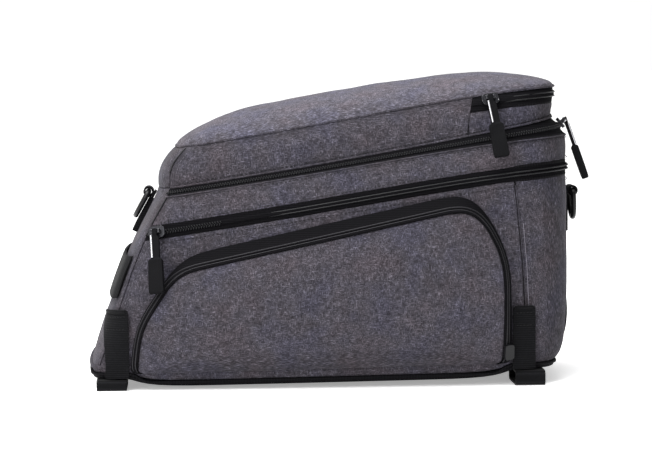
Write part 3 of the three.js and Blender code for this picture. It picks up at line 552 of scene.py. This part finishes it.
# %% [markdown]
# ## Swelling it like foam under cloth
# The walls hold 3 mm of foam, so the real panels swell a little between their seams and pull in
# where they are stitched. Blender's cloth does this: the closed sheet is put under pressure for
# twenty frames, with its rims held, and no point may move further than a cap. Afterwards small
# folds are pressed in: broad soft ones in the middle, and short puckers square to each seam.

# %% Cloth under pressure, then folds
PRESSURE, CLOTH_STEPS = 3.0, 20


def swell(piece, tree, cap):
    """Runs cloth on the piece with its rims held, and keeps each move under the cap."""
    before = places(piece)
    held = piece.vertex_groups.new(name="rim")
    for vertex in piece.data.vertices:
        distance = tree.find(vertex.co)[2]
        held.add([vertex.index], 1 - ease((distance - 1.5 * MM) / (5 * MM)), "REPLACE")
    only(piece)
    modifier = piece.modifiers.new("cloth", "CLOTH")
    settings = modifier.settings
    settings.use_pressure = True
    settings.uniform_pressure_force = PRESSURE
    settings.effector_weights.gravity = 0
    settings.vertex_group_mass = held.name
    settings.quality = 4
    settings.mass = 0.15
    modifier.collision_settings.use_collision = False
    for step in range(1, CLOTH_STEPS + 1):
        bpy.context.scene.frame_set(step)
    bpy.ops.object.modifier_apply(modifier=modifier.name)
    bpy.context.scene.frame_set(1)
    move = places(piece) - before
    length = np.linalg.norm(move, axis=1, keepdims=True)
    limit = cap * np.tanh(length / cap) / np.maximum(length, 1e-9)
    place_all(piece, before + move * limit)
    piece.vertex_groups.clear()
    return float(length.max())


PUCKER, PUCKER_REACH = 0.45 * MM, 9 * MM


def fold(piece, tree, broad):
    """Presses soft folds and seam puckers into the piece, along its normals."""
    for vertex in piece.data.vertices:
        spot, _, distance = tree.find(vertex.co)
        away = ease(distance / (14 * MM))
        wave = noise.noise(vertex.co / (32 * MM)) + 0.5 * noise.noise(vertex.co / (15 * MM))
        near = math.exp(-(distance / PUCKER_REACH) ** 2) * ease(distance / (1.6 * MM))
        crease = noise.noise(spot / (6 * MM))
        vertex.co += vertex.normal * (broad * wave * away + PUCKER * crease * near)
    piece.data.update()


PAD_EDGE = 1.1 * MM


def pad(node, name, finish, cap, broad):
    """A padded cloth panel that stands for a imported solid."""
    piece = copy_of(node, name)
    tree = rim_tree(piece)
    smooth_edges(piece, PAD_EDGE, 2)
    moved = 0.0
    moved = swell(piece, tree, cap)
    fold(piece, tree, broad)
    piece.data.materials.append(finish)
    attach(piece, "bag")
    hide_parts(node)
    print(name, "faces", len(piece.data.polygons), "moved up to mm", round(moved / MM, 2))
    return piece

# %% [markdown]
# ## The walls, the lid and the pockets
# Twelve panels are cut from the heather cloth. They share one recipe, with more swell where the
# real bag is loose: the pocket fronts bulge, the lid's top is a soft dome, and the narrow band
# stays flatter. The lid's top has a paler copy of the cloth, which is painted light: it stands
# for the light that falls on the top from above.

# %% Pad every panel
for node, slot, finish, cap, broad in (
    ("front_panel", "heather_cloth", side_cloth, 3.5, 0.7),
    ("side_panel_near", "heather_cloth", side_cloth, 1.5, 0.6),
    ("side_panel_far", "heather_cloth", side_cloth, 1.5, 0.6),
    ("rear_panel", "heather_cloth", side_cloth, 1.8, 0.6),
    ("expansion_band", "heather_cloth", side_cloth, 1.0, 0.35),
    ("lid_front_panel", "heather_cloth", side_cloth, 1.5, 0.5),
    ("lid_side_near", "heather_cloth", side_cloth, 1.2, 0.5),
    ("lid_side_far", "heather_cloth", side_cloth, 1.2, 0.5),
    ("lid_rear_panel", "heather_cloth", side_cloth, 1.0, 0.4),
    ("lid_top_panel", "heather_top", painted_light_top_cloth, 1.2, 0.7),
    ("pocket_panel_near", "heather_cloth", side_cloth, 1.8, 0.7),
    ("pocket_panel_far", "heather_cloth", side_cloth, 1.8, 0.7),
):
    pad(node, node + "_cloth", finish, cap * MM, broad * MM)

# %% [markdown]
# ## Tapes, straps and the base
# Flat woven parts keep their shape, so they aren't swollen. Their copies only get rolled edges and
# a smooth surface, and the finish that fits the way their ribs run.

# %% Dress the flat woven parts
def dress(node, name, finish, body="bag", edge=0.5 * MM, levels=2, angle=SHARP):
    """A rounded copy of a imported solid, with its finish, on a body."""
    piece = copy_of(node, name)
    smooth_edges(piece, edge, levels, angle)
    piece.data.materials.append(finish)
    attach(piece, body)
    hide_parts(node)
    return piece


for node in ("expansion_zip", "main_zip", "lid_zip", "pocket_zip_near", "pocket_zip_far"):
    dress(node, node + "_tape", tape_cloth, edge=0.35 * MM)
for end in ("front", "rear"):
    for side in ("near", "far"):
        strap, loop = f"rack_strap_{end}_{side}", f"rack_loop_{end}_{side}"
        dress(strap, strap + "_webbing", webbing_tall)
        dress(loop, loop + "_webbing", webbing_across, edge=0.6 * MM)
    fold_under = f"ring_webbing_{end}"
    dress(fold_under, fold_under + "_cloth", webbing_tall, edge=0.4 * MM)
dress("carry_handle", "carry_handle_webbing", webbing_across)
dress("light_strap", "light_strap_webbing", webbing_tall)
dress("base_panel", "base_panel_cloth", base_cloth, edge=0.8 * MM)
print("flat woven parts dressed")

# %% [markdown]
# ## Rings and sliders
# These are moulded or cast, so they keep their edges. A small bevel catches the light on them. The
# ring's bar is smoothed round.

# %% Dress the hard parts
for end in ("front", "rear"):
    dress(f"shoulder_ring_{end}", f"shoulder_ring_{end}_moulding", ring_acetal,
          body=f"{end}_ring", edge=0.3 * MM, angle=80)
for name in ("expansion_zip", "lid_zip", "main_zip"):
    dress(f"{name}_slider", f"{name}_slider_casting", slider_zinc,
          edge=0.4 * MM, levels=1)
for side in ("near", "far"):
    dress(f"pocket_slider_{side}", f"pocket_slider_{side}_casting", slider_lacquer,
          edge=0.4 * MM, levels=1)
print("hard parts dressed")


# %% [markdown]
# ## Pulls
# Each pull is a knuckle on the slider's bar, a flat stem and a thick rubber tab. It is modelled
# once from a block: the block is the knuckle, its lower face is extruded and widened step by step
# into the stem and the tab, and a bevel and a subdivision surface round it like a moulding. A
# shallow bed is inset in the tab's face, where the thumb goes.

# %% One pull, modelled flat with its bar along x
def face_towards(piece, direction, least=0.7):
    """Selects the faces that point in a direction, and leaves edit mode."""
    bpy.ops.object.mode_set(mode="EDIT")
    bpy.ops.mesh.select_mode(type="FACE")
    bpy.ops.mesh.select_all(action="DESELECT")
    bpy.ops.object.mode_set(mode="OBJECT")
    faces = [face for face in piece.data.polygons if face.normal.dot(direction) > least]
    furthest = max(face.center.dot(direction) for face in faces)
    for face in faces:
        face.select = face.center.dot(direction) > furthest - 0.01 * MM
    bpy.ops.object.mode_set(mode="EDIT")


def pull_model(tab_thick):
    """A pull that hangs down -y from the origin, its face towards +z."""
    bpy.ops.mesh.primitive_cube_add(size=1, location=(0, -0.6 * MM, 0))
    piece = bpy.context.active_object
    piece.scale = (3.6 * MM, 4.6 * MM, 3.6 * MM)
    bpy.ops.object.transform_apply(location=True, rotation=True, scale=True)
    # Each row is how far down the next part reaches, and how much wider and thicker it gets.
    for step, width, thick in (
        (1.2, 1.0, 0.75), (1.4, 1.9, 0.9), (16.0, 1.0, 1.0), (1.8, 1.6, tab_thick),
        (12.0, 1.06, 1.0), (12.5, 1.04, 0.95), (1.6, 0.86, 0.8),
    ):
        face_towards(piece, Vector((0, -1, 0)))
        bpy.ops.mesh.extrude_region_move(TRANSFORM_OT_translate={"value": (0, -step * MM, 0)})
        bpy.ops.transform.resize(value=(width, 1, thick))
        bpy.ops.object.mode_set(mode="OBJECT")
    for side in (1, -1):
        face_towards(piece, Vector((0, 0, side)), 0.98)
        bpy.ops.mesh.inset(thickness=1.6 * MM, depth=-0.5 * MM)
        bpy.ops.object.mode_set(mode="OBJECT")
    smooth_edges(piece, 0.45 * MM, 2, 25)
    return piece


print("pull helpers ready")

# %% [markdown]
# ## Hanging the pulls
# A pull turns on the bar of its slider, and the pack holds that joint: its place and its axis.
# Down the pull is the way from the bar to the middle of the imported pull. The tab of the pull on
# the rear is seen edge on, and is the thickest of the three.

# %% The three pulls in place
def pull_frame(node, joint):
    """Where a pull turns, and its directions: along the bar, down the pull, and off it."""
    data = next(item for item in frame["joints"] if item["name"] == joint)
    pivot, bar = Vector(data["pos_m"]), -Vector(data["axis"]).normalized()
    middle = Vector(places(frame["nodes"][node]).mean(axis=0))
    down = (middle - pivot) - bar * (middle - pivot).dot(bar)
    down.normalize()
    return pivot, bar, down, down.cross(bar)


for name, thick in (("expansion", 1.75), ("lid", 1.75), ("main", 2.6)):
    pivot, bar, down, off = pull_frame(f"{name}_zip_pull", f"{name}_pull_lift")
    pull = copies(f"{name}_pull_tab", pull_model(thick), [(pivot, bar, off, -down)], tab_rubber)
    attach(pull, f"{name}_pull")
    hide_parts(f"{name}_zip_pull")
    print(pull.name, "faces", len(pull.data.polygons))

# %% [markdown]
# ## Chains of the three zips
# A nylon coil is wound so that each turn shows as a short slanting bar. The two halves mesh along
# the middle, half a turn apart. One tooth pair is modelled from two capsules, and copied every
# 2 mm along the tape. A real coil has a turn each 1.2 mm or so, which is finer than the render
# can show.

# %% One tooth pair, and the three chains
def tooth_pair(length, thick, pitch, slant):
    """Two rounded bars across the chain, one each side of its middle."""
    bars = []
    for side in (-1, 1):
        bpy.ops.mesh.primitive_cylinder_add(
            vertices=6, radius=thick / 2, depth=length, rotation=(math.pi / 2, 0, side * slant),
            location=(side * pitch / 4, side * length * 0.48, 0))
        bars.append(bpy.context.active_object)
        bpy.ops.object.transform_apply(location=True, rotation=True, scale=True)
        apply_modifier(bars[-1], "BEVEL", width=thick * 0.28, segments=1, limit_method="ANGLE",
                       angle_limit=math.radians(60))
    bpy.ops.object.select_all(action="DESELECT")
    for bar in bars:
        bar.select_set(True)
    bpy.ops.object.join()
    return bpy.context.active_object


def on_tape(low, high, start, stop, out):
    """A curve along the middle of a tape. Its outward direction is square to the tape's face."""
    def curve(share):
        turn = start + (stop - start) * share
        middle = level(low, high)
        along = skin(middle, turn + 0.01) - skin(middle, turn - 0.01)
        up = skin(level(high), turn) - skin(level(low), turn)
        normal = along.cross(up).normalized()
        point = skin(middle, turn, 1.2) + normal * out
        return point, point + normal * MM
    return curve


CHAIN_PITCH = 2.0 * MM
for name, low, high, start, stop in (
    ("expansion_chain_start", "tub_top", "band_bottom", 1.5, 2.16),
    ("expansion_chain_end", "tub_top", "band_bottom", 6.84, 7.5),
    ("main_chain", "band_top", "lid_bottom", 1.5, 7.5),
):
    frames = walk(on_tape(low, high, start, stop, 0.1 * MM), CHAIN_PITCH)
    model = tooth_pair(1.8 * MM, 0.95 * MM, CHAIN_PITCH, math.radians(24))
    chain = copies(name, model, frames, coil_nylon)
    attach(chain, "bag")
    print(name, "teeth", 2 * len(frames), "faces", len(chain.data.polygons))

# %% [markdown]
# ## Tapes that hide their coil
# The lid's zip and most of the expansion zip are sewn in with the coil turned inwards. What shows
# is a smooth tape with a fine line where its halves meet, and a roll along each edge of the chain.

# %% Rolls along the turned-in chains
ROLL_OUT, ROLL_SUNK = 0.9, -0.6


def tape_line(at, start, stop):
    """A curve along a tape at one level, sunk into the tape over a twentieth at each end."""
    def curve(share):
        risen = ease(min(1, share * 20, (1 - share) * 20))
        return on_skin(at, start + (stop - start) * share,
                       ROLL_SUNK + (ROLL_OUT - ROLL_SUNK) * risen)
    return curve


for name, low, high, start, stop in (
    ("expansion_rolls", "tub_top", "band_bottom", 2.16, 6.84),
    ("lid_rolls", "lid_middle", "lid_seam", 2.87, 6.13),
):
    lines = [tape_line(level(low, high, share), start, stop) for share in (0.37, 0.63)]
    rolls = cordage(name, lines, 0.5 * MM, coil_nylon)
    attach(rolls, "bag")

# %% [markdown]
# ## Binding inside the seams
# Inside the bag the raw edges are wrapped in a strip of black tape. It closes the slit behind each
# tape, so that no light comes through the bag.

# %% Bindings behind the tapes
bindings = cordage("seam_bindings", [
    round_bag(level(name), start, stop, -2.4)
    for name, start, stop in (
        ("tub_top", 1.5, 7.5), ("band_bottom", 1.5, 7.5), ("band_top", 1.5, 7.5),
        ("lid_bottom", 1.5, 7.5), ("lid_middle", 2.86, 6.14), ("lid_seam", 1.5, 7.5))
], 1.7 * MM, base_cloth)
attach(bindings, "bag")
print("bindings faces", len(bindings.data.polygons))

# %% [markdown]
# ## Welts along the seams
# Where two panels meet, the maker folds a strip of cloth over a thin cord. The welt stands half
# proud of the seam and catches a line of light. Heather welts run down the four upright seams and
# round the top of the tub's band, and a black one closes the lid's seam and the base. The heather
# welts are a darker copy of the cloth, and the welts at the front of the band and of the lid are
# black cord: this is painted shade, for the dark groove along each seam.

# %% Welts, as thin cords along the skin
def welt(name, curves, radius, finish, closed=False, pitch=4 * MM):
    piece = cordage(name, curves, radius, finish, pitch, closed)
    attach(piece, "bag")
    return piece


# A darker copy of the heather: painted shade for the dark groove along the seams and the low front
# edge.
seam_shade_cloth = heather("heather_polyester_painted_seam_shade", "232125", "37353A", "57545C")
for place, start, stop, names, finish in (
    ("front", 1.5, 7.5, ("hem", "tub_top"), seam_shade_cloth),
    ("rear", 3.0, 6.0, ("hem", "tub_top"), seam_shade_cloth),
    # The band's and the lid's front welts are black cord, painted shade for the dark groove of their
    # seams.
    ("band_front", 1.5, 7.5, ("band_bottom", "band_top"), piping_and_seam_shade),
    ("lid_front", 1.5, 7.5, ("lid_low", "lid_seam"), piping_and_seam_shade),
):
    curves = [up_bag(names, start, 0.1), up_bag(names, stop, 0.1)]
    welt(f"{place}_welts", curves, 0.6 * MM, finish)
# Paler cords beside the rear seam: painted highlight for the light line on its fold.
welt("rear_seam_painted_highlight", [up_bag(("foot", "high"), 3.04, 0.3), up_bag(("foot", "high"), 5.96, 0.3)],
     0.22 * MM, seam_highlight_thread)
welt("band_top_fold", [round_bag(level("band_top"), 1.45, 7.55, -0.2)], 0.6 * MM, seam_shade_cloth)
welt("lid_seam_welt", [round_bag(level("lid_seam"), 0.5, 8.5, 0.1)], 0.9 * MM, side_cloth,
     closed=True)
welt("lid_foot_welt", [round_bag(level("lid_bottom"), 1.5, 7.5, 0.5)], 0.8 * MM, side_cloth)
print("welts sewn in")


# %% [markdown]
# ## Hem round the base
# The walls and the base board are bound together in black tape, which shows as a narrow roll under
# the bag. At the low front two rolls lie one over the other, because the front panel's own hem is
# turned there as well.

# %% Binding rolls
welt("base_binding", [round_bag(level("bottom"), 0.5, 8.5, 0.6, down=0.6)], 1.3 * MM, base_cloth,
     closed=True)
# The front hem's roll is the darker copy of the heather: painted shade along the low front edge.
welt("front_hem", [round_bag(level("hem"), -1.3, 2.05, -0.5)], 1.5 * MM, seam_shade_cloth)

# %% [markdown]
# ## Stitches
# The seams are topstitched with thick polyester thread, one stitch each 3.2 mm. One stitch is a
# small stretched ball, sunk by half into the cloth. Rows run beside the upright seams, round the
# band, along the lid and down the straps.

# %% One stitch, and the rows
STITCH_LENGTH, STITCH_THICK = 2.2 * MM, 0.5 * MM


def stitch_model():
    """One stitch: a ball stretched along x."""
    bpy.ops.mesh.primitive_uv_sphere_add(segments=6, ring_count=4, radius=1,
                                         rotation=(0, math.pi / 2, 0))
    stitch = bpy.context.active_object
    bpy.ops.object.transform_apply(location=True, rotation=True, scale=True)
    stitch.scale = (STITCH_LENGTH / 2, STITCH_THICK / 2, STITCH_THICK / 2)
    bpy.ops.object.transform_apply(location=True, rotation=True, scale=True)
    return stitch


def stitch_rows(name, curves, finish, pitch=3.2 * MM):
    """Rows of stitches a pitch apart along curves on the skin, as one piece on the bag."""
    frames = [step for curve in curves for step in walk(curve, pitch)]
    rows = copies(name, stitch_model(), frames, finish)
    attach(rows, "bag")
    print(name, "stitches", len(frames))


# A far turn is 9 less the near one.
stitch_rows("seam_stitches", [
    up_bag(names, side, out)
    for names, turn, out in ((("foot", "high"), 3.10, 0.15), (("lid_low", "lid_high"), 1.68, 0.1),
                             (("foot", "high"), 1.66, 0.1))
    for side in (turn, 9 - turn)
], thread)
stitch_rows("band_stitches", [
    round_bag(level(low, high, share), 1.72, 7.28, 0.3)
    for low, high, share in (
        ("band_middle", "band_top", 0.80), ("band_bottom", "band_middle", 0.22),
        ("high", "tub_top", 0.86), ("lid_bottom", "lid_low", 0.22))
], black_thread)

# %% [markdown]
# ## Piping on the pocket bands
# A wide black tape runs round each pocket, with the zip hidden under its fold. Two thin cords are
# sewn into it beside the pocket's front, and show as fine grey lines. Their course comes from the
# pocket's own rim: the rim is walked, pushed outward in the side's plane, and dropped on the tape.

# %% The pocket's rim as a smooth closed run
def rim_run(node, side):
    """Points along the outer rim of a pocket panel, smoothed, about 2 mm apart."""
    piece = copy_of(node, "rim_copy")
    shape = bmesh.new()
    shape.from_mesh(piece.data)
    links = {}
    for edge in shape.edges:
        faces = edge.link_faces
        if len(faces) == 2 and edge.calc_face_angle() > math.radians(45):
            if any(face.normal.y * side > 0.35 for face in faces):
                a, b = edge.verts
                links.setdefault(a.index, []).append(b.index)
                links.setdefault(b.index, []).append(a.index)
    shape.verts.ensure_lookup_table()
    start = min(links)
    order, last, here = [start], None, start
    while True:
        following = [other for other in links[here] if other != last and other not in order[1:]]
        if not following or following[0] == start:
            break
        last, here = here, following[0]
        order.append(here)
    points = np.array([shape.verts[index].co for index in order])
    shape.free()
    bpy.data.objects.remove(piece)
    ring = np.vstack([points, points[:1]])
    reach = np.concatenate([[0], np.cumsum(np.linalg.norm(np.diff(ring, axis=0), axis=1))])
    even = np.arange(0, reach[-1], 2 * MM)
    run = np.column_stack([np.interp(even, reach, ring[:, axis]) for axis in range(3)])
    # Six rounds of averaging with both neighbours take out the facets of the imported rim.
    for _ in range(6):
        run = (np.roll(run, 1, axis=0) + 2 * run + np.roll(run, -1, axis=0)) / 4
    print(node, "rim points", len(points), "length in mm", round(reach[-1] / MM))
    return run


# %% [markdown]
# ## Laying the cords on the tape
# A cord keeps its distance from the pocket's edge, so each point of the rim is pushed out by that
# distance and then dropped on the tape with a ray from the side. Where the ray finds no tape, at
# the pocket's foot, the cord ends.

# %% Cords on the tape
RAY_START, NEAREST = 300 * MM, 60 * MM
LONGEST_GAP, FEWEST_POINTS = 6 * MM, 8


def pipe_pocket(name, side):
    """Lays three cords on one pocket's tape. Side is -1 for the near side and 1 for the far."""
    run = rim_run(f"pocket_panel_{name}", side)
    band = bpy.data.objects[f"pocket_zip_{name}_tape"]
    tangent = np.roll(run, -1, axis=0) - np.roll(run, 1, axis=0)
    square = np.column_stack([tangent[:, 2], np.zeros(len(run)), -tangent[:, 0]])
    square /= np.linalg.norm(square, axis=1, keepdims=True)
    middle = run.mean(axis=0)
    if ((run - middle) * square).sum() < 0:
        square = -square
    for kind, away, radius, finish in (
        ("inner", 0.8, 0.9, tape_cloth), ("first", 2.2, 0.5, piping_and_seam_shade), ("second", 4.3, 0.5, piping_and_seam_shade),
    ):
        parts, part = [], []
        for point, push in zip(run, square):
            spot = point + push * away * MM
            found, place, _, _ = band.ray_cast(
                Vector((spot[0], side * RAY_START, spot[2])), Vector((0, -side, 0)))
            # A hit past the bag's middle is the other side's tape. A cord is sunk by 0.7 of its
            # radius, as a stitched cord is.
            if found and side * place.y > NEAREST:
                part.append(place + Vector((0, side * radius * MM * 0.3, 0)))
            elif part:
                parts.append(part)
                part = []
        if part:
            parts.append(part)
        # The walk starts somewhere on the rim, so its last part may run into the first.
        if len(parts) > 1 and (parts[0][0] - parts[-1][-1]).length < LONGEST_GAP:
            parts[0] = parts.pop() + parts[0]
        long_parts = [part for part in parts if len(part) > FEWEST_POINTS]
        cord = tube(f"pocket_{name}_{kind}_cord", long_parts, radius * MM, finish)
        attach(cord, "bag")


pipe_pocket("near", -1)
pipe_pocket("far", 1)

# %% [markdown]
# ## Folded ends of the rack straps
# Each strap's top end is turned under twice before it is sewn down, which leaves a thicker roll
# there, darker along its top. A short cord of webbing is that roll.

# %% Where a height or an x lies on the skin
def halve(low, high, below):
    """The place where below(place) turns false, found by halving the span thirty times."""
    for _ in range(30):
        middle = (low + high) / 2
        low, high = (middle, high) if below(middle) else (low, middle)
    return (low + high) / 2


def turn_at(at, x):
    """The turn on the near side at which a level has this x, in the bag's millimetres."""
    return halve(1.0, 4.0, lambda turn: skin(at, turn).x / MM - FRAME_X < x)


def level_at(height, turn_of):
    """The level that has this height, in millimetres, at the turn that turn_of gives for it."""
    def below(place):
        at = level_between(place)
        return skin(at, turn_of(at)).z / MM < height
    return level_between(halve(0.0, len(ORDER) - 1.0, below))


STRAP_TOP, HALF_STRAP, HALF_ROW = 60.5, 8.2, 6.5
STITCH_HEIGHTS = (56.5, 47.0)
for end, centre in (("front", -164.5), ("rear", 147.5)):
    at = level_at(STRAP_TOP, lambda at: turn_at(at, centre))
    near = (turn_at(at, centre - HALF_STRAP), turn_at(at, centre + HALF_STRAP))
    far = (9 - near[0], 9 - near[1])
    welt(f"rack_strap_{end}_rolls", [round_bag(at, *near, 2.9), round_bag(at, *far, 2.9)],
         1.5 * MM, webbing_tall, pitch=2 * MM)
    rows = []
    for height in STITCH_HEIGHTS:
        at = level_at(height, lambda at: turn_at(at, centre))
        near = (turn_at(at, centre - HALF_ROW), turn_at(at, centre + HALF_ROW))
        rows += [round_bag(at, *near, 3.4), round_bag(at, 9 - near[0], 9 - near[1], 3.4)]
    stitch_rows(f"rack_strap_{end}_stitches", rows, black_thread, 2.6 * MM)

# %% [markdown]
# ## Patch behind the front ring
# The front ring's webbing is sewn on a doubled patch, because the whole bag may hang on it. The
# patch is a grid that is laid on the sloping front, given its thickness and rounded.

# %% A patch laid on the skin
def patch_on_front(name, turns, heights, out, thick):
    """A strip between two turns and two heights of the front, standing off the skin."""
    bpy.ops.mesh.primitive_grid_add(x_subdivisions=8, y_subdivisions=10, size=1)
    piece = bpy.context.active_object
    piece.name = name
    laid = []
    for x, y, _ in places(piece):
        height = heights[0] + (heights[1] - heights[0]) * (y + 0.5)
        at = level_at(height, lambda at: 0.5)
        laid.append(skin(at, turns[0] + (turns[1] - turns[0]) * (x + 0.5), out))
    place_all(piece, laid)
    apply_modifier(piece, "SOLIDIFY", thickness=thick, offset=0)
    smooth_edges(piece, 0.4 * MM, 1)
    only(piece)
    bpy.ops.object.mode_set(mode="EDIT")
    bpy.ops.mesh.select_all(action="SELECT")
    bpy.ops.mesh.normals_make_consistent(inside=False)
    bpy.ops.object.mode_set(mode="OBJECT")
    return piece


# The patch is 4.2 mm thick, so that it fills the space between the ring and the slope.
patch = patch_on_front("front_ring_patch", (0.42, 0.58), (117, 143), 2.3, 4.2 * MM)
patch.data.materials.append(webbing_tall)
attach(patch, "bag")
print("patch faces", len(patch.data.polygons))

# %% [markdown]
# ## Bright pins on the pulls
# Each pull hangs on a loop of nickel-plated wire. One leg of it shows beside the stem as a bright
# slanting pin, which is the lightest thing on the whole bag.

# %% Pins
for name in ("expansion", "lid", "main"):
    pivot, bar, down, off = pull_frame(f"{name}_zip_pull", f"{name}_pull_lift")
    ends = []
    for reach, sideways in ((3.6, -2.6), (21.5, -2.2)):
        ends.append(pivot + down * reach * MM + bar * sideways * MM + off * 1.5 * MM)
    run = [ends[0].lerp(ends[1], step / 8) for step in range(9)]
    pin = tube(f"{name}_pull_pin", [run], 0.85 * MM, pin_nickel)
    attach(pin, f"{name}_pull")
print("pins set")

# %% [markdown]
# ## Floor, light and camera
# The photograph was taken in a white studio: a pale floor and back wall without an edge, a large
# soft light above and weaker ones from both sides. The wall is darker on the right, which shades
# the bag's tall end as in the picture.

# %% Studio
bpy.ops.mesh.primitive_plane_add(size=60, location=(0, 0, -0.2 * MM))
floor = bpy.context.active_object
floor.name = "studio_floor"
floor_finish, _, floor_shader, _ = new_finish("matt_white_floor")
floor_shader.inputs["Base Color"].default_value = colour("F4F4F4")
floor_shader.inputs["Roughness"].default_value = 0.9
# A little light of its own keeps the floor as white as the studio behind it.
floor_shader.inputs["Emission Color"].default_value = colour("FFFFFF")
floor_shader.inputs["Emission Strength"].default_value = 0.35
floor.data.materials.append(floor_finish)


def area_light(name, place, size, power, aim=(0, 0, 0.1)):
    """A soft square light that faces a point."""
    bpy.ops.object.light_add(type="AREA", location=place)
    light = bpy.context.active_object
    light.name = name
    light.data.size = size
    light.data.energy = power
    light.rotation_euler = (Vector(aim) - Vector(place)).to_track_quat("-Z", "Y").to_euler()
    return light


area_light("light_above", (-0.45, -0.35, 1.6), 1.4, 60)
area_light("light_left", (-1.0, -1.7, 0.9), 1.0, 23)
area_light("light_right", (1.4, -1.5, 0.7), 1.0, 1)
world = bpy.data.worlds.new("white_studio")
bpy.context.scene.world = world
world.use_nodes = True
back = world.node_tree.nodes["Background"]
# The first value is the direction's x: white up to a little right of the middle, then darker.
toward = add_node(world.node_tree, "ShaderNodeSeparateXYZ", {
    0: add_node(world.node_tree, "ShaderNodeTexCoord").outputs["Generated"]})
wall = add_node(world.node_tree, "ShaderNodeValToRGB", {"Fac": toward.outputs[0]}, stops=[
    (0.15, colour("FFFFFF")), (1.0, colour("9A9A9A"))])
world.node_tree.links.new(wall.outputs[0], back.inputs["Color"])
back.inputs["Strength"].default_value = 1.03
bpy.context.scene.view_settings.view_transform = "Standard"

# %% [markdown]
# ## Camera
# The level lines of the photograph nearly meet the picture's own, so the camera is low and almost
# square to the near side. At 2 m one pixel is 0.8 mm on the bag's middle. The slight roll is the
# tilt at which the feet stand in the picture.

# %% Camera
AIM = Vector((FRAME_X, 0, 116)) * MM
AZIMUTH, ELEVATION, DISTANCE, ROLL = math.radians(-3), math.radians(4), 2.0, math.radians(-0.4)
VIEW_WIDTH = 652 * 0.8 * MM
offset = Vector((math.sin(AZIMUTH) * math.cos(ELEVATION),
                 -math.cos(AZIMUTH) * math.cos(ELEVATION), math.sin(ELEVATION))) * DISTANCE
bpy.ops.object.camera_add(location=AIM + offset)
camera = bpy.context.active_object
camera.name = "photo_camera"
look = (-offset).to_track_quat("-Z", "Y").to_matrix() @ Matrix.Rotation(ROLL, 3, "Z")
camera.rotation_euler = look.to_euler()
camera.data.sensor_width = 36
camera.data.lens = 36 * DISTANCE / VIEW_WIDTH
camera.data.clip_start = 0.05
bpy.context.scene.camera = camera
print("camera lens in mm:", round(camera.data.lens, 1))
